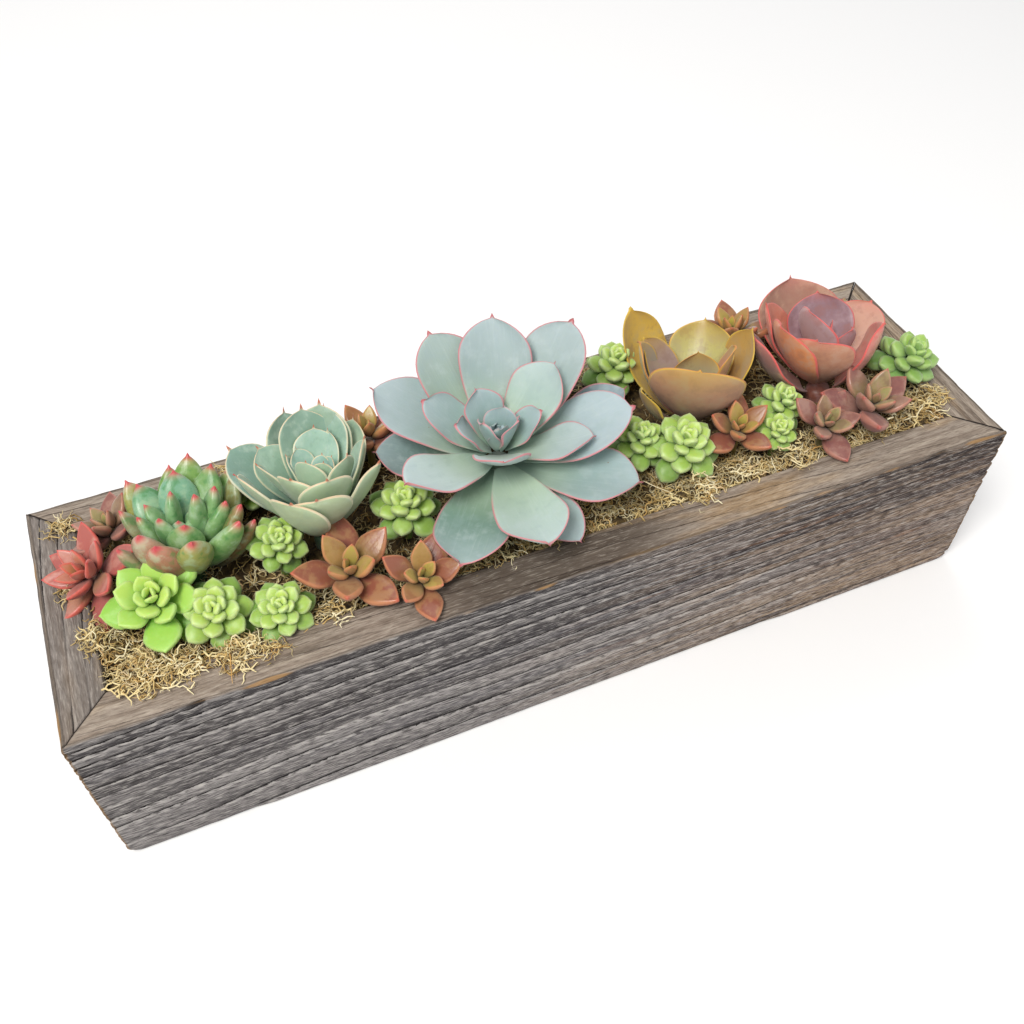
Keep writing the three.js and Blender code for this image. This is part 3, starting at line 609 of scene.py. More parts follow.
# Layers are given as for paintOver. age runs from 0 in the bud to 1 outside, along from root to
# tip, rim is 1 at the margin, under is 1 below, tint differs from leaf to leaf, and mottle, vein and speck
# are patterns.
finishes = {
    "blue": {
        # Echeveria leaf under a thick wax bloom: matte, chalky grey-green, a thin pink-red margin, faint veins.
        "young": "#92aeac", "old": "#9bb1aa", "roughness": 0.5, "sheen": 0.2, "glow": 0.08,
        "layers": [
            ("#bccbca", 0.30, {"mottle": (0.50, 0.70)}), ("#8ea7a2", 0.30, {"mottle": (0.50, 0.34)}),
            # painted light: paler on the upper face towards the tip
            ("#b2c0c8", 0.40, {"along": (0.45, 0.95), "under": (0.5, 0.0)}),
            # the second layer is painted shade, darker towards the leaf's root
            ("#a3b999", 0.55, {"along": (0.60, 0.25)}), ("#5f7a6e", 0.65, {"along": (0.32, 0.03)}),
            # the first layer is painted shade on the leaf's underside
            ("#7f9a94", 0.50, {"under": (0.05, 0.6)}), ("#d4e0e0", 0.10, {"vein": (0.52, 0.75)}),
            ("#cf7880", 0.85, {"rim": (0.34, 0.66), "along": (0.2, 0.5), "age": (0.0, 0.25)}),
            ("#b5545c", 0.80, {"along": (0.95, 0.99), "age": (0.05, 0.3)}),
            ("#8a6a4e", 0.75, {"speck": (0.03, 0.018)}),
        ],
    },
    "pale": {
        # Echeveria leaf with a light bloom: soft grey-green, cream margin, pink-orange point.
        "young": "#98bdae", "old": "#a2b89c", "roughness": 0.46, "sheen": 0.2, "glow": 0.1,
        "layers": [
            ("#c0d4c4", 0.45, {"mottle": (0.50, 0.66)}), ("#7c9c88", 0.45, {"mottle": (0.50, 0.36)}),
            # the first layer is painted shade, darker towards the leaf's root
            ("#456d58", 0.80, {"along": (0.60, 0.08)}), ("#a9bb94", 0.55, {"under": (0.05, 0.6)}),
            ("#e8dfc0", 0.75, {"rim": (0.36, 0.70), "along": (0.25, 0.55)}),
            ("#d8955f", 0.40, {"rim": (0.50, 0.8), "along": (0.70, 0.95)}),
            ("#b9583f", 0.85, {"along": (0.935, 0.97)}), ("#9a6a44", 0.70, {"speck": (0.03, 0.018)}),
        ],
    },
    "tipped": {
        # Plump agavoides-type leaf: smooth satin skin, blue-green inside to grass green, red point.
        "young": "#80a876", "old": "#769a4c", "roughness": 0.3, "sheen": 0.08, "glow": 0.12,
        "layers": [
            ("#b3cbaa", 0.50, {"mottle": (0.49, 0.64)}), ("#3f8240", 0.60, {"mottle": (0.49, 0.38)}),
            # the first layer is painted shade, darker towards the leaf's root
            ("#2f5630", 0.60, {"along": (0.45, 0.05)}), ("#d49a86", 0.32, {"along": (0.84, 0.93)}),
            ("#c8424f", 0.90, {"along": (0.905, 0.97)}),
        ],
    },
    "amber": {
        # Broad cupped echeveria leaf, sun-stressed: mauve-brown faces, ochre-yellow margins, thin bloom.
        "young": "#ada070", "old": "#9a7a68", "roughness": 0.34, "sheen": 0.12, "glow": 0.12,
        "layers": [
            ("#a99a80", 0.40, {"mottle": (0.48, 0.66)}), ("#8a6c5e", 0.40, {"mottle": (0.50, 0.36)}),
            # the first layer is painted shade, darker towards the leaf's root
            ("#6a4a3e", 0.50, {"along": (0.45, 0.05)}), ("#bf9a44", 0.65, {"along": (0.58, 1.0)}),
            ("#d6b144", 0.90, {"rim": (0.30, 0.62), "along": (0.3, 0.6)}),
            ("#c8684e", 0.60, {"rim": (0.55, 0.9), "tint": (0.3, 0.6)}),
        ],
    },
    "rose": {
        # Broad cupped echeveria leaf: orange-brown outside, lilac-grey bloom inside, a glowing pink-red margin.
        "young": "#9c8294", "old": "#b87662", "roughness": 0.4, "sheen": 0.15, "glow": 0.15,
        "layers": [
            ("#c8a088", 0.55, {"mottle": (0.47, 0.62), "age": (0.45, 0.6)}),
            ("#c0a4a8", 0.40, {"mottle": (0.46, 0.66), "age": (0.5, 0.4)}),
            # the second layer is painted shade, darker towards the leaf's root
            ("#a0685a", 0.35, {"mottle": (0.50, 0.36)}), ("#8c5448", 0.45, {"along": (0.45, 0.05)}),
            ("#d4716a", 0.35, {"along": (0.80, 1.0)}),
            ("#dc5c58", 0.88, {"rim": (0.38, 0.72), "along": (0.15, 0.4)}),
        ],
    },
    "bronze": {
        # Graptosedum leaf in full sun: waxy brown-pink, redder rim, olive in the bud.
        "young": "#9f9d60", "old": "#966862", "roughness": 0.28, "sheen": 0.1, "glow": 0.12,
        "layers": [
            ("#8c5852", 0.80, {"age": (0.35, 0.75)}), ("#b08c7c", 0.55, {"mottle": (0.47, 0.62)}),
            ("#6e4444", 0.40, {"mottle": (0.50, 0.36)}),
            ("#8a8a58", 0.60, {"tint": (0.60, 0.85), "along": (0.80, 0.2)}),
            # painted shade: the first layer on the leaf's underside, the second towards its root
            ("#743f40", 0.55, {"under": (0.05, 0.6)}), ("#3f2622", 0.60, {"along": (0.38, 0.03)}),
            ("#c98a78", 0.50, {"rim": (0.30, 0.75), "along": (0.2, 0.5)}),
            ("#b24a46", 0.60, {"along": (0.90, 0.98)}),
        ],
    },
    "copper": {
        # The same kind, more orange, with a yellow-green heart.
        "young": "#b4ac4e", "old": "#9c6049", "roughness": 0.25, "sheen": 0.1, "glow": 0.14,
        "layers": [
            ("#8c4f40", 0.85, {"age": (0.38, 0.74)}), ("#b08a5c", 0.50, {"mottle": (0.46, 0.62)}),
            ("#8a5238", 0.40, {"mottle": (0.50, 0.36)}),
            ("#8f8a4a", 0.55, {"tint": (0.62, 0.85), "along": (0.75, 0.2)}),
            # painted shade: the first layer on the leaf's underside, the second towards its root
            ("#8a4c3e", 0.50, {"under": (0.05, 0.6)}), ("#4a2c20", 0.60, {"along": (0.38, 0.03)}),
            ("#d08a62", 0.60, {"rim": (0.30, 0.75), "along": (0.2, 0.5)}),
            ("#bf4f42", 0.60, {"along": (0.90, 0.98)}),
        ],
    },
    "ruby": {
        # The same kind in deep red-pink with lacquer-like highlights.
        "young": "#c8845e", "old": "#b0665c", "roughness": 0.3, "sheen": 0.1, "glow": 0.15,
        "layers": [
            ("#aa5c58", 0.70, {"age": (0.15, 0.45)}), ("#c99484", 0.60, {"mottle": (0.46, 0.62)}),
            ("#a3865a", 0.60, {"tint": (0.66, 0.82), "along": (0.8, 0.3)}),
            # painted shade: the first layer on the leaf's underside, the second towards its root
            ("#8a3f46", 0.50, {"under": (0.05, 0.6)}), ("#4f2428", 0.60, {"along": (0.38, 0.03)}),
            ("#d65f54", 0.70, {"rim": (0.40, 0.74), "along": (0.2, 0.5)}),
            ("#c33c44", 0.60, {"along": (0.90, 0.98)}),
        ],
    },
    "stonecrop": {
        # Bead-plump stonecrop leaf: thin skin over watery flesh, lime to apple green, dusted pale on the swell.
        "young": "#c2d868", "old": "#8ab24a", "roughness": 0.4, "sheen": 0.2, "glow": 0.22,
        "layers": [
            # the second layer is painted shade, darker towards the leaf's root
            ("#b4d284", 0.50, {"mottle": (0.45, 0.63)}), ("#5c9232", 0.75, {"along": (0.50, 0.1)}),
            # the first layer is painted shade on the leaf's underside
            ("#44722a", 0.65, {"under": (0.1, 0.8)}), ("#cfe09c", 0.40, {"along": (0.80, 0.98)}),
            ("#cde0a2", 0.45, {"rim": (0.25, 0.75), "under": (0.9, 0.4)}),
            ("#41702a", 0.45, {"age": (0.72, 1.0)}),
        ],
    },
    "lime": {
        # The flat-leaved stonecrop: brighter, lettuce green, with a pale lime heart.
        "young": "#cbdf70", "old": "#90c64c", "roughness": 0.4, "sheen": 0.1, "glow": 0.26,
        "layers": [
            # the second layer is painted shade, darker towards the leaf's root
            ("#b4dc84", 0.50, {"mottle": (0.46, 0.66)}), ("#66a830", 0.60, {"along": (0.50, 0.1)}),
            # the first layer is painted shade on the leaf's underside
            ("#5a9430", 0.45, {"under": (0.1, 0.8)}), ("#c4e08c", 0.45, {"rim": (0.30, 0.8)}),
        ],
    },
    "seaGreen": {
        # The same stonecrop in shade: cooler blue-green with a paler heart.
        "young": "#a8c860", "old": "#74a04a", "roughness": 0.42, "sheen": 0.2, "glow": 0.2,
        "layers": [
            # the second layer is painted shade, darker towards the leaf's root
            ("#a0c47c", 0.50, {"mottle": (0.46, 0.66)}), ("#528c42", 0.60, {"along": (0.50, 0.1)}),
            ("#b5d08c", 0.45, {"rim": (0.25, 0.75), "under": (0.9, 0.4)}),
            # painted shade on the leaf's underside
            ("#40743a", 0.50, {"under": (0.1, 0.8)}),
        ],
    },
}

# Leaves of the open rosettes, by row, that differ from their finish's course from young to old.
leafColours = {
    "blue_rosette": {
        9: "#b3c4c0", 10: "#a6bdb2", 12: "#a9bcb8", 13: "#b1c4be", 14: "#95a9a6", 15: "#95ab9c", 16: "#9db0ac",
        17: "#a0b3b2", 18: "#a8bbbe", 19: "#acc2b4", 20: "#95aeaa", 21: "#6f8f80", 22: "#5f7a72", 24: "#5b7276",
    },
    "pale_rosette": {
        9: "#b4c6a8", 10: "#8fae9a", 12: "#b2c6a6", 14: "#93b2a0", 15: "#8aa996", 16: "#adbd96", 17: "#9db592",
        19: "#84a596", 20: "#a6b48e", 22: "#8aaa98", 23: "#96b09a",
    },
    "tipped_rosette": {
        4: "#78a684", 8: "#7cab8c", 13: "#7caa84", 15: "#8a7a4c", 16: "#93906a", 18: "#9c9a54", 19: "#a8866c",
        20: "#a8745a", 22: "#73994e", 23: "#7aa052", 24: "#9a9a50", 25: "#a09270", 26: "#8f6f4a", 27: "#8c8a50",
    },
    "amber_rosette": {
        0: "#a6a66c", 1: "#a6a06a", 2: "#aba86c", 3: "#b0a880", 4: "#bd8468", 5: "#a38c84", 6: "#bab470",
        7: "#b0866a", 8: "#a59a8c", 9: "#c09856", 10: "#86644e", 11: "#d2b04c",
    },
    "rose_rosette": {
        0: "#b07078", 1: "#b07078", 2: "#c06a72", 3: "#b49a9e", 4: "#96787f", 5: "#b3949a", 6: "#c99a86",
        7: "#c28a6c", 8: "#d88a56", 9: "#d4826a", 10: "#cb7c70", 11: "#ab806c", 12: "#96706c",
    },
}


def leafSkin(name, look):
    material, tree = startMaterial("mat" + name[0].upper() + name[1:] + "LeafSkin", {
        "Roughness": look["roughness"], "Sheen Weight": look["sheen"], "Sheen Roughness": 0.6,
        "Subsurface Weight": look["glow"], "Subsurface Radius": (1.0, 0.7, 0.3), "Subsurface Scale": 0.002,
        "IOR": 1.42,  # plant wax
    })
    add = partial(addNode, tree)
    fields = {}
    for key in ("age", "along", "rim", "under", "tint"):
        fields[key] = add("ShaderNodeAttribute", attribute_name=key).outputs["Fac"]
    veinPlace = add("ShaderNodeAttribute", attribute_name="veinPlace").outputs["Vector"]
    where = add("ShaderNodeTexCoord").outputs["Object"]
    # cloudy patches of about 9 mm, veins 1.2 mm apart along the leaf, specks 14 mm apart
    cloud = {"Vector": where, "Scale": 110.0, "Detail": 4, "Roughness": 0.6}
    fields["mottle"] = add("ShaderNodeTexNoise", cloud).outputs["Fac"]
    lengthwise = add("ShaderNodeMapping", {"Vector": veinPlace, "Scale": (0.05, 0.8, 1.0)})
    fields["vein"] = add("ShaderNodeTexNoise", {"Vector": lengthwise, "Scale": 1.0, "Detail": 3}).outputs["Fac"]
    fields["speck"] = add("ShaderNodeTexVoronoi", {"Vector": where, "Scale": 70.0}).outputs["Distance"]
    if name + "_rosette" in handLeaves:
        colour = add("ShaderNodeAttribute", attribute_name="leafColour").outputs["Vector"]
    else:
        ends = {0: fields["age"], 6: look["young"], 7: look["old"]}
        colour = add("ShaderNodeMix", ends, data_type="RGBA").outputs[2]
    colour = paintOver(tree, colour, look["layers"], fields)
    fine = add("ShaderNodeTexNoise", {"Vector": where, "Scale": 900.0, "Detail": 2}).outputs["Fac"]
    relief = add("ShaderNodeBump", {"Height": fine, "Strength": 0.12, "Distance": 0.0004})
    veins = {"Height": fields["vein"], "Strength": 0.15, "Distance": 0.0005, "Normal": relief}
    wireShader(tree, colour, add("ShaderNodeBump", veins))
    return material


skins = {name: leafSkin(name, look) for name, look in finishes.items()}
print("finishes ready")


def leanOf(lean):  # the tilt of a crown towards a direction, both in degrees
    direction, tilt = (math.radians(v) for v in lean)
    return Matrix.Rotation(tilt, 4, Vector((-math.sin(direction), math.cos(direction), 0)))


# the open rosettes, leaf by leaf
def buildOpenRosette(node, kindName, finish, crown, lean, size):
    kind, rows = kinds[kindName], handLeaves[node]
    young, old = (np.array(colourOf(finishes[finish][key])[:3]) for key in ("young", "old"))
    rng = random.Random(node)
    tilt = Matrix.Translation(Vector(crown)) @ leanOf(lean)
    points, faces, veins, colours = [], [], [], []
    values = {key: [] for key in ("along", "rim", "under", "age", "tint")}
    for index, (turn, pitch, length, width) in enumerate(rows):
        age = index / (len(rows) - 1)
        leaf = {
            "length": length * size, "width": width * size,
            "thick": max(openLeaf["leastThick"], width * size * kind["thick"]),
            "pitch": pitch, "bend": between(kind["bend"], age), "phase": rng.uniform(0, 6),
            "sway": rng.uniform(-0.05, 0.05),
        }
        shape, quads, fields, vein = leafShell(kindName, leaf, openLeaf["rings"], openLeaf["around"])
        root = Vector((between(kind["root"], age), 0, between(kind["rise"], age))) * size
        turned = tilt @ Matrix.Rotation(math.radians(turn), 4, "Z") @ Matrix.Translation(root)
        roll = Matrix.Rotation(math.radians(rng.uniform(-kind["roll"], kind["roll"])), 4, "X")
        matrix = np.array(turned @ roll)
        addShell(points, faces, (shape @ matrix[:3, :3].T + matrix[:3, 3]) * mm, quads)
        fields["age"], fields["tint"] = np.full(len(shape), age), np.full(len(shape), rng.random())
        for key, numbers in fields.items():
            values[key].append(numbers)
        veins.append(vein)
        code = leafColours[node].get(index)
        base = colourOf(code)[:3] if code else young + (old - young) * age
        colours.append(np.tile(base, (len(shape), 1)))
    path = [(crown[0], crown[1], height) for height in np.linspace(stem["foot"], crown[2], 6)]
    radii = [kind["stem"] * size * share for share in (0.8, 0.85, 0.9, 0.95, 1, 0.9)]
    shape, quads = tubeShell(path, radii, stem["sides"])
    addShell(points, faces, shape * mm, quads)
    for key in values:
        values[key].append(np.zeros(len(shape)))
    veins.append(np.zeros((len(shape), 3)))
    colours.append(np.tile(old * [0.3, 0.25, 0.2], (len(shape), 1)))  # a brown stem, darkened further as painted shade
    return meshPiece(joined(*node.split("_"), "leaves"), np.vstack(points), faces,
                     {key: np.concatenate(parts) for key, parts in values.items()},
                     {"veinPlace": np.vstack(veins), "leafColour": np.vstack(colours)})


def startTree(name, inputs, output):
    tree = bpy.data.node_groups.new(name, "GeometryNodeTree")
    tree.is_modifier = True
    for label, kind in inputs:
        tree.interface.new_socket(label, in_out="INPUT", socket_type="NodeSocket" + kind)
    tree.interface.new_socket(output, in_out="OUTPUT", socket_type="NodeSocketGeometry")
    return tree, tree.nodes.new("NodeGroupInput").outputs, tree.nodes.new("NodeGroupOutput")


# heads and rosettes by rule, with a golden turn from leaf to leaf: lengths in millimetres, angles in degrees
headInputs = [
    ("Leaves", "Collection"), ("Leaf Count", "Int"), ("Size", "Float"), ("First Turn", "Float"),
    ("Golden Turn", "Float"), ("Leaf Kinds", "Int"), ("Inner Pitch", "Float"), ("Outer Pitch", "Float"),
    ("Pitch Curve", "Float"), ("Inner Length", "Float"), ("Outer Length", "Float"), ("Length Curve", "Float"),
    ("Inner Root", "Float"), ("Outer Root", "Float"), ("Inner Rise", "Float"), ("Outer Rise", "Float"),
    ("Crown", "Vector"), ("Lean", "Vector"), ("Stem Foot", "Vector"), ("Stem Radius", "Float"),
    ("Seed", "Int"), ("Skin", "Material"),
]
headChances = {  # what differs from leaf to leaf
    "turn": (-6.0, 6.0), "pitch": (-5.0, 5.0), "roll": (-9.0, 9.0), "size": (0.9, 1.1), "tint": (0.0, 1.0),
}


def headTree():
    tree, given, result = startTree("growHead", headInputs, "Head")
    add = partial(addNode, tree)
    index = add("GeometryNodeInputIndex")
    last = add("ShaderNodeMath", {0: given["Leaf Count"], 1: 1.0}, operation="SUBTRACT")
    age = add("ShaderNodeMath", {0: index, 1: last}, operation="DIVIDE")
    spread = {}  # the value between inner and outer at this leaf's age
    for name, curve in (("Pitch", "Pitch Curve"), ("Length", "Length Curve"), ("Root", None), ("Rise", None)):
        share = add("ShaderNodeMath", {0: age, 1: given[curve]}, operation="POWER") if curve else age
        ends = {1: 0.0, 2: 1.0, 3: given["Inner " + name], 4: given["Outer " + name]}
        spread[name] = add("ShaderNodeMapRange", {0: share, **ends})
    chance = {}
    for step, (name, (low, high)) in enumerate(headChances.items()):
        seed = add("ShaderNodeMath", {0: given["Seed"], 1: float(step)}, operation="ADD")
        chance[name] = add("FunctionNodeRandomValue", {2: low, 3: high, "Seed": seed})
    sums = [  # a name, what is done, and to what: a name stands for the last value of that name
        ("turn", "MULTIPLY_ADD", index, given["Golden Turn"], given["First Turn"]),
        ("turn", "ADD", "turn", chance["turn"]), ("turn", "RADIANS", "turn"),
        ("pitch", "ADD", spread["Pitch"], chance["pitch"]), ("pitch", "MULTIPLY", "pitch", -math.pi / 180),
        ("roll", "RADIANS", chance["roll"]),
        ("length", "MULTIPLY", spread["Length"], given["Size"]),
        ("length", "MULTIPLY", "length", chance["size"]), ("scale", "MULTIPLY", "length", mm),
        ("outward", "MULTIPLY", spread["Root"], given["Size"]),
        ("upward", "MULTIPLY", spread["Rise"], given["Size"]),
        ("kind", "SUBTRACT", given["Leaf Kinds"], 1.0), ("kind", "MULTIPLY", age, "kind"),
        ("kind", "ROUND", "kind"),
    ]
    made = {}
    for name, operation, *terms in sums:
        links = {i: made[term] if isinstance(term, str) else term for i, term in enumerate(terms)}
        made[name] = add("ShaderNodeMath", links, operation=operation)
    root = add("ShaderNodeCombineXYZ", {"X": made["outward"], "Y": 0.0, "Z": made["upward"]})
    root = add("ShaderNodeVectorRotate", {"Vector": root, "Angle": made["turn"]}, rotation_type="Z_AXIS")
    root = add("ShaderNodeVectorMath", {0: root, "Scale": mm}, operation="SCALE")
    points = add("GeometryNodePoints", {"Count": given["Leaf Count"], "Position": root})
    variants = add("GeometryNodeCollectionInfo", {
        0: given["Leaves"], "Separate Children": True, "Reset Children": True})
    facing = add("ShaderNodeCombineXYZ", {"X": made["roll"], "Y": made["pitch"], "Z": made["turn"]})
    head = add("GeometryNodeInstanceOnPoints", {
        "Points": points, "Instance": variants, "Pick Instance": True, "Instance Index": made["kind"],
        "Rotation": facing, "Scale": made["scale"]})
    for name, value in (("age", age), ("tint", chance["tint"])):
        head = add("GeometryNodeStoreNamedAttribute", {"Geometry": head, "Name": name, 3: value},
                   data_type="FLOAT", domain="INSTANCE")
    head = add("GeometryNodeRealizeInstances", {"Geometry": head})
    head = add("GeometryNodeTransform", {
        "Geometry": head, "Translation": given["Crown"], "Rotation": given["Lean"]})
    line = add("GeometryNodeCurvePrimitiveLine", {"Start": given["Stem Foot"], "End": given["Crown"]})
    section = add("GeometryNodeCurvePrimitiveCircle", {
        "Resolution": stem["headSides"], "Radius": given["Stem Radius"]})
    stalk = add("GeometryNodeCurveToMesh", {"Curve": line, "Profile Curve": section, "Fill Caps": True})
    both = add("GeometryNodeJoinGeometry", {"Geometry": stalk})
    tree.links.new(head.outputs[0], both.inputs[0])
    done = add("GeometryNodeRealizeInstances", {"Geometry": both})
    done = add("GeometryNodeSetMaterial", {"Geometry": done, "Material": given["Skin"]})
    tree.links.new(done.outputs[0], result.inputs[0])
    return tree


# Runs a tree on a carrier mesh, or on an empty one, and returns the result as a plain mesh object.
def growPiece(name, tree, values, carrier=None):
    host = carrier or meshPiece(name + "Host", [], [])
    modifier = host.modifiers.new("grow", "NODES")
    modifier.node_group = tree
    for key, value in values.items():
        modifier[tree.interface.items_tree[key].identifier] = value
    graph = bpy.context.evaluated_depsgraph_get()
    graph.update()
    mesh = bpy.data.meshes.new_from_object(host.evaluated_get(graph))
    mesh.name = name
    bpy.data.objects.remove(host)
    piece = bpy.data.objects.new(name, mesh)
    bpy.context.scene.collection.objects.link(piece)
    return piece


def shelfOf(name, variants):  # a collection of small pieces for a tree to choose from
    shelf = bpy.data.collections.new(name)
    bpy.context.scene.collection.children.link(shelf)
    for variant in variants:
        bpy.context.scene.collection.objects.unlink(variant)
        shelf.objects.link(variant)
    return shelf


def clearShelf(shelf):
    for spare in list(shelf.objects):
        bpy.data.objects.remove(spare)
    bpy.data.collections.remove(shelf)


def leafVariants(kindName):  # leaves of unit length from bud to outside
    kind, variants = kinds[kindName], []
    rng = random.Random(kindName)
    for step in range(kind["variants"]):
        age = step / (kind["variants"] - 1)
        length = between(kind["length"], age ** kind["lengthCurve"])
        width = length * between(kind["width"], age)
        leaf = {
            "length": length, "width": width, "thick": width * kind["thick"], "pitch": 0,
            "bend": between(kind["bend"], age), "phase": rng.uniform(0, 6), "sway": rng.uniform(-0.04, 0.04),
        }
        shape, quads, fields, vein = leafShell(kindName, leaf, kind["rings"], kind["around"])
        variants.append(meshPiece(f"{kindName}Leaf{step}", shape / length, quads, fields, {"veinPlace": vein}))
    return shelfOf(kindName + "LeafShelf", variants)


def growByRule(order, node, kindName, finish, crown, lean, firstTurn, size):
    kind = kinds[kindName]
    told = {
        "Leaves": shelves[kindName], "Leaf Count": kind["count"], "Size": float(size),
        "First Turn": float(firstTurn), "Golden Turn": goldenTurn, "Leaf Kinds": kind["variants"],
        "Pitch Curve": kind["pitchCurve"], "Length Curve": kind["lengthCurve"],
        "Crown": [v * mm for v in crown], "Lean": list(leanOf(lean).to_euler()),
        "Stem Foot": (crown[0] * mm, crown[1] * mm, stem["foot"] * mm),
        "Stem Radius": stem["headRadius"] * size * mm * stem["slim"],
        "Seed": 40 + 10 * order, "Skin": skins[finish],
    }
    for key in ("pitch", "length", "root", "rise"):
        for end, value in zip(("Inner ", "Outer "), kind[key]):
            told[end + key.capitalize()] = float(value)
    return growPiece(joined(*node.split("_"), "leaves"), growHead, told)


growHead = headTree()
shelves = {name: leafVariants(name) for name in ("bronze", "ruby", "stonecrop", "spoon")}
for order, (node, kindName, finish, crown, lean, firstTurn, size) in enumerate(plants):
    if node in handLeaves:
        plant = buildOpenRosette(node, kindName, finish, crown, lean, size)
    else:
        plant = growByRule(order, node, kindName, finish, crown, lean, firstTurn, size)
    place(plant, skins[finish], node.split("_")[0] + "_leaf", node)
    for surface in plant.data.polygons:
        surface.use_smooth = True
for shelf in shelves.values():
    clearShelf(shelf)
print("plants ready")

# level and the like make the moss's surface, as in the CAD source; tuft is the size of its clumps
moss = {
    "level": 100, "edgeRise": 8, "ripple": 1.2, "reach": (249, 70), "cell": 2.5, "soilTop": 92.3,
    "bedDrop": 3.5,
    # x, y, height above the level, radius
    "mounds": [
        (-212, -46, 11, 16), (-195, -50, 11, 15), (-172, -51, 10, 15), (-158, -58, 7, 12),
        (-121, -46, 8, 15), (-36, -44, 8, 17), (66, -42, 8, 15), (79, -46, 9, 14), (113, -42, 8, 14),
        (136, -44, 8, 14), (181, -43, 8, 15), (214, -40, 9, 14), (229, -34, 9, 13), (-244, 14, 8, 14),
        (-229, -22, 9, 13), (-148, 60, 9, 14), (-238, 56, 7, 13), (-40, 52, 7, 16), (60, 52, 7, 16),
    ],
    "fibres": 16, "fibreLength": (10, 21), "fibreRadius": (0.27, 0.66), "perSquareMetre": 300000,
    # single sprigs that lie over the front rim: both ends, as x and y
    "sprigs": [
        (-186, -48, -165, -67), (-173, -60, -171, -66), (-188, -52, -190, -58), (-163, -52, -168, -60),
        (-208, -60, -195, -64), (-199, -57, -193, -57), (-124, -50, -121, -57), (-137, -45, -145, -51),
        (74, -39, 88, -34), (82, -38, 76, -58), (58, -44, 62, -52), (96, -42, 106, -50), (113, -33, 124, -28),
        (128, -36, 137, -46), (140, -38, 150, -32), (157, -36, 178, -38), (158, -41, 156, -50),
        (196, -42, 206, -36), (218, -38, 232, -44), (-232, -50, -222, -57), (-226, -56, -214, -62),
    ],
    "straws": [(-174, -50, -177.5, -69), (-176, -46, -165, -62), (50, -30, 62, -46), (-205, -40, -196, -56)],
    "tuft": 12, "fibreField": (243, 62), "tilt": 0.65, "smallest": 0.6, "largest": 1.1,
    "quarters": {"mossFibresLeft": (-250, -130), "mossFibresMidLeft": (-130, 0), "mossFibresMidRight": (0, 130),
                 "mossFibresRight": (130, 250)},
}


def mossHeight(x, y):
    waves = math.sin(x * 0.21 + 1.3) * math.cos(y * 0.33) + math.sin(x * 0.09 - y * 0.17)
    mound = max(h * math.exp(-((x - cx) ** 2 + (y - cy) ** 2) / (r * r)) for cx, cy, h, r in moss["mounds"])
    edge = min(max(abs(x) / insideX, abs(y) / insideY) ** 4, 1)
    return moss["level"] + moss["edgeRise"] * edge + moss["ripple"] * waves + mound


def mossFibre(rng, length, radius):  # one wavy fibre, lying about flat, as path and radii
    steps = 10
    heading, climb, side = rng.uniform(0, 2 * math.pi), 0.0, 1
    point = Vector((0, 0, 0))
    path = []
    for step in range(steps):
        path.append(point.copy())
        heading += side * rng.uniform(0.5, 1.4) + rng.uniform(-0.5, 0.5)
        side = -side if rng.random() < 0.6 else side
        climb = climb * 0.4 + rng.uniform(-0.7, 0.7)
        point += Vector((math.cos(heading), math.sin(heading), math.sin(climb))) * length / (steps - 1)
    middle = sum(path, Vector()) / steps
    radii = [radius * (1 - 0.7 * abs(2 * k / (steps - 1) - 1) ** 2) for k in range(steps)]
    return [p - middle for p in path], radii


def fibreVariants():
    rng, variants = random.Random(5), []
    for step in range(moss["fibres"]):
        length = between(moss["fibreLength"], rng.random())
        path, radii = mossFibre(rng, length, between(moss["fibreRadius"], rng.random() ** 2))
        points, faces = tubeShell([p * mm for p in path], [r * mm for r in radii], 3)
        variants.append(meshPiece(f"mossFibre{step:02d}", points, faces))
    return shelfOf("mossFibreShelf", variants)


def mossGrid(reachX, reachY):  # rows and columns of a sheet, its points in plan, each cell's first corner
    nx, ny = int(2 * reachX / moss["cell"]), int(2 * reachY / moss["cell"])
    spots = [(-reachX + 2 * reachX * i / nx, -reachY + 2 * reachY * j / ny)
             for i in range(nx + 1) for j in range(ny + 1)]
    return nx, ny, spots, [i * (ny + 1) + j for i in range(nx) for j in range(ny)]


# The moss surface as an open sheet that fibres are strewn on: how many and how deep they lie is in attributes.
def mossCarrier(name, low, high):
    nx, ny, spots, cells = mossGrid(*moss["reach"])
    fieldX, fieldY = moss["fibreField"]  # none so near the edge of the box that a fibre could hang over it
    points, density, depth = [], [], []
    for x, y in spots:
        z = mossHeight(x, y)
        onRim = z - box["height"]
        wanted = 1.0 if y < -14 or abs(x) > 205 else 0.3  # fewer behind the plants
        clump = 0.6 + 1.6 * noise.noise(Vector((x / moss["tuft"], y / moss["tuft"], 2)))
        wanted *= min(max(clump, 0.65 if x < -130 else 0.1), 1.15)  # tufts with gaps, denser on the left
        outside = abs(x) > insideX - 1 or abs(y) > insideY - 1
        if outside:
            wanted = min(max((onRim - 0.3) / 2.5, 0), 1) * 1.3 if abs(x) < fieldX and abs(y) < fieldY else 0
        points.append((x * mm, y * mm, (max(z, box["height"] + 0.5) if outside else z) * mm))
        density.append(wanted if low <= x < high else 0)
        depth.append((max(onRim, 0.4) if outside else 5) * mm)
    faces = [(a, a + ny + 1, a + ny + 2, a + 1) for a in cells]
    return meshPiece(name, points, faces, {"density": density, "depth": depth})


strewInputs = [
    ("Sheet", "Geometry"), ("Fibres", "Collection"), ("Per Square Metre", "Float"), ("Tilt", "Float"),
    ("Smallest", "Float"), ("Largest", "Float"), ("Seed", "Int"), ("Finish", "Material"),
]


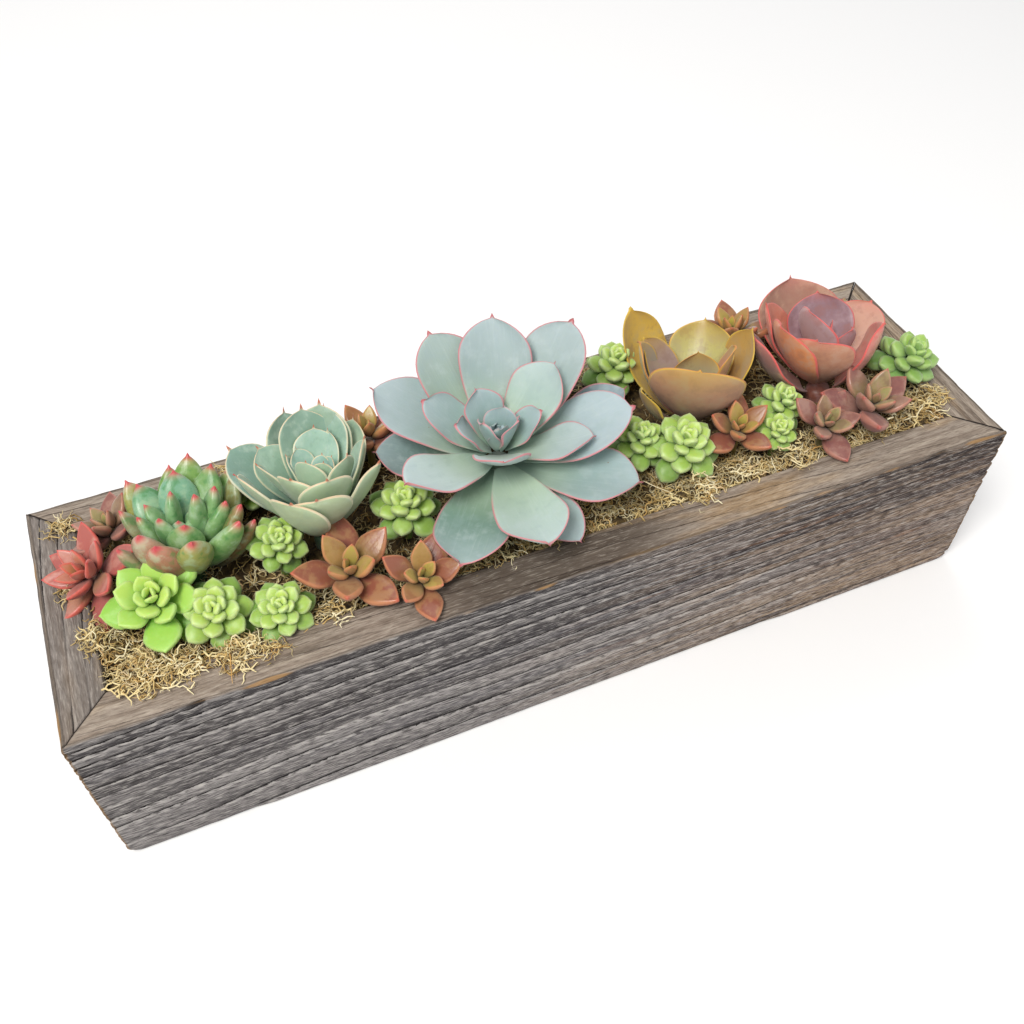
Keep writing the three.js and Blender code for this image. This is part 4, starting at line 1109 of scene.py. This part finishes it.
def strewTree():
    tree, given, result = startTree("strewFibres", strewInputs, "Tangle")
    add = partial(addNode, tree)
    density = add("GeometryNodeInputNamedAttribute", {"Name": "density"}, data_type="FLOAT")
    density = add("ShaderNodeMath", {0: density, 1: given["Per Square Metre"]}, operation="MULTIPLY")
    strewn = add("GeometryNodeDistributePointsOnFaces", {
        "Mesh": given["Sheet"], "Density": density, "Seed": given["Seed"]}, distribute_method="RANDOM")
    back = add("ShaderNodeMath", {0: given["Tilt"], 1: -1.0}, operation="MULTIPLY")
    ranges = {  # what differs from fibre to fibre; sink is a share of the depth of the moss there
        "tipX": (back, given["Tilt"]), "tipY": (back, given["Tilt"]), "turn": (0.0, 2 * math.pi),
        "scale": (given["Smallest"], given["Largest"]), "sink": (-1.0, 0.12), "tint": (0.0, 1.0),
    }
    chance = {}
    for step, (name, (low, high)) in enumerate(ranges.items()):
        seed = add("ShaderNodeMath", {0: given["Seed"], 1: float(step + 1)}, operation="ADD")
        chance[name] = add("FunctionNodeRandomValue", {2: low, 3: high, "Seed": seed})
    depth = add("GeometryNodeInputNamedAttribute", {"Name": "depth"}, data_type="FLOAT")
    sink = add("ShaderNodeMath", {0: depth, 1: chance["sink"]}, operation="MULTIPLY")
    drop = add("ShaderNodeCombineXYZ", {"X": 0.0, "Y": 0.0, "Z": sink})
    strewn = add("GeometryNodeSetPosition", {"Geometry": strewn, "Offset": drop})
    shelf = add("GeometryNodeCollectionInfo", {
        0: given["Fibres"], "Separate Children": True, "Reset Children": True})
    facing = add("ShaderNodeCombineXYZ", {"X": chance["tipX"], "Y": chance["tipY"], "Z": chance["turn"]})
    choice = {4: 0, 5: moss["fibres"] - 1, "Seed": given["Seed"]}
    pick = add("FunctionNodeRandomValue", choice, data_type="INT")
    laid = add("GeometryNodeInstanceOnPoints", {
        "Points": strewn, "Instance": shelf, "Pick Instance": True, "Instance Index": pick,
        "Rotation": facing, "Scale": chance["scale"]})
    for name, key in (("tint", "tint"), ("buried", "sink")):
        laid = add("GeometryNodeStoreNamedAttribute", {"Geometry": laid, "Name": name, 3: chance[key]},
                   data_type="FLOAT", domain="INSTANCE")
    laid = add("GeometryNodeRealizeInstances", {"Geometry": laid})
    laid = add("GeometryNodeSetMaterial", {"Geometry": laid, "Material": given["Finish"]})
    tree.links.new(laid.outputs[0], result.inputs[0])
    return tree


def dryMoss():
    # Sheet moss, dried: brittle straw-coloured fibre, bleached at the top, brown where buried: partly
    # unbleached, partly painted shade.
    material, tree = startMaterial("matDriedSheetMoss", {"Roughness": 0.85, "Specular IOR Level": 0.2})
    add = partial(addNode, tree)
    tint = add("ShaderNodeAttribute", attribute_name="tint").outputs["Fac"]
    buried = add("ShaderNodeAttribute", attribute_name="buried").outputs["Fac"]
    tone = add("ShaderNodeValToRGB", {"Fac": tint})
    stops = [(0.0, "#c4a062"), (0.3, "#dfc78c"), (0.6, "#ecdaa6"), (0.9, "#f5ebc8"), (1.0, "#d8a862")]
    for position, code in stops[:-2]:
        tone.color_ramp.elements.new(position)
    for element, (position, code) in zip(tone.color_ramp.elements, stops):
        element.position = position
        element.color = colourOf(code)
    # fibres sunk deeper turn brown: partly the moss's unbleached colour, partly painted shade within the tangle
    deep = add("ShaderNodeMapRange", {0: buried, 1: -0.3, 2: -1.0, 3: 0.0, 4: 0.6})
    wireShader(tree, add("ShaderNodeMix", {0: deep, 6: tone, 7: "#6b4f2c"}, data_type="RGBA").outputs[2])
    return material


def strayMoss():  # sprigs with short side twigs, and bare straws, that lie loose on the front rim
    rng = random.Random(11)
    points, faces, tints = [], [], []
    steps = 9
    looks = {"sprigs": (1.6, 0.55, (0.45, 0.9)), "straws": (0.15, 0.3, (0.85, 1))}  # waver, radius, tint
    for kind, (waver, thick, tones) in looks.items():
        for x0, y0, x1, y1 in moss[kind]:
            ends = [(x, y, max(mossHeight(x, y), box["height"]) + 1.2) for x, y in ((x0, y0), (x1, y1))]
            start, end = (Vector(point) for point in ends)
            across = (end - start).cross(Vector((0, 0, 1))).normalized()
            main = []
            for k in range(steps):
                sway = rng.uniform(-waver, waver) * across + Vector((0, 0, rng.uniform(0, waver)))
                main.append(start.lerp(end, k / (steps - 1)) + sway)
            strands = [(main, [thick * (1 - 0.6 * k / (steps - 1)) for k in range(steps)])]
            for k in range(1, steps) if kind == "sprigs" else ():
                if rng.random() < 0.4:
                    continue
                side = across * rng.choice((-1, 1)) + (end - start).normalized() * rng.uniform(0.2, 1)
                reach = rng.uniform(1.2, 5)
                stray = [Vector((rng.uniform(-0.8, 0.8), rng.uniform(-0.8, 0.8), rng.uniform(0, 1.2)))
                         for f in range(4)]
                twig = [main[k] + side * reach * f / 3 + stray[f] * min(f, 1) for f in range(4)]
                strands.append((twig, (0.4, 0.38, 0.3, 0.16)))
            tint = rng.uniform(*tones)
            for path, radii in strands:
                shape, quads = tubeShell([p * mm for p in path], [r * mm for r in radii], 5)
                addShell(points, faces, shape, quads)
                tints += [tint] * len(shape)
    return meshPiece("strayMossSprigs", np.vstack(points), faces, {"tint": tints, "buried": [0] * len(tints)})


def mossBed():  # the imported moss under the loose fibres, a closed slab between the walls
    nx, ny, spots, cells = mossGrid(insideX - 0.4, insideY - 0.4)
    top, underside = [], []
    for x, y in spots:
        lump = 1.6 * noise.noise(Vector((x / 7, y / 7, 3))) + 0.8 * noise.noise(Vector((x / 2.6, y / 2.6, 9)))
        top.append((x * mm, y * mm, (mossHeight(x, y) - moss["bedDrop"] + lump) * mm))
        underside.append((x * mm, y * mm, moss["soilTop"] * mm))
    side, count = ny + 1, len(top)
    faces = [(a, a + side, a + side + 1, a + 1) for a in cells]
    faces += [(count + a, count + a + 1, count + a + side + 1, count + a + side) for a in cells]
    rim = [i * side for i in range(nx + 1)] + [nx * side + j for j in range(1, side)]
    rim += [i * side + ny for i in range(nx - 1, -1, -1)] + list(range(ny - 1, 0, -1))
    faces += [(a, count + a, count + b, b) for a, b in zip(rim, rim[1:] + rim[:1])]
    return meshPiece("mossBed", top + underside, faces)


strew = strewTree()
fibres = fibreVariants()
mossFinish = dryMoss()
for order, (name, (low, high)) in enumerate(moss["quarters"].items()):
    tangle = growPiece(name, strew, {
        "Fibres": fibres, "Per Square Metre": float(moss["perSquareMetre"]), "Tilt": moss["tilt"],
        "Smallest": moss["smallest"], "Largest": moss["largest"], "Seed": 3 + 20 * order, "Finish": mossFinish,
    }, mossCarrier(name + "Sheet", low, high))
    place(tangle, mossFinish, "dry_moss", "moss_quilt")
clearShelf(fibres)
place(strayMoss(), mossFinish, "dry_moss", "moss_quilt")
# the bed's dark brown is partly the packed moss's own colour and partly painted shade in the gaps between the
# fibres
packed = looseGround("matPackedMossAndGapShade", "#2b1f16", "#75603a", (330, 330, 330))
place(mossBed(), packed, "dry_moss", "moss_quilt")
print("moss ready")
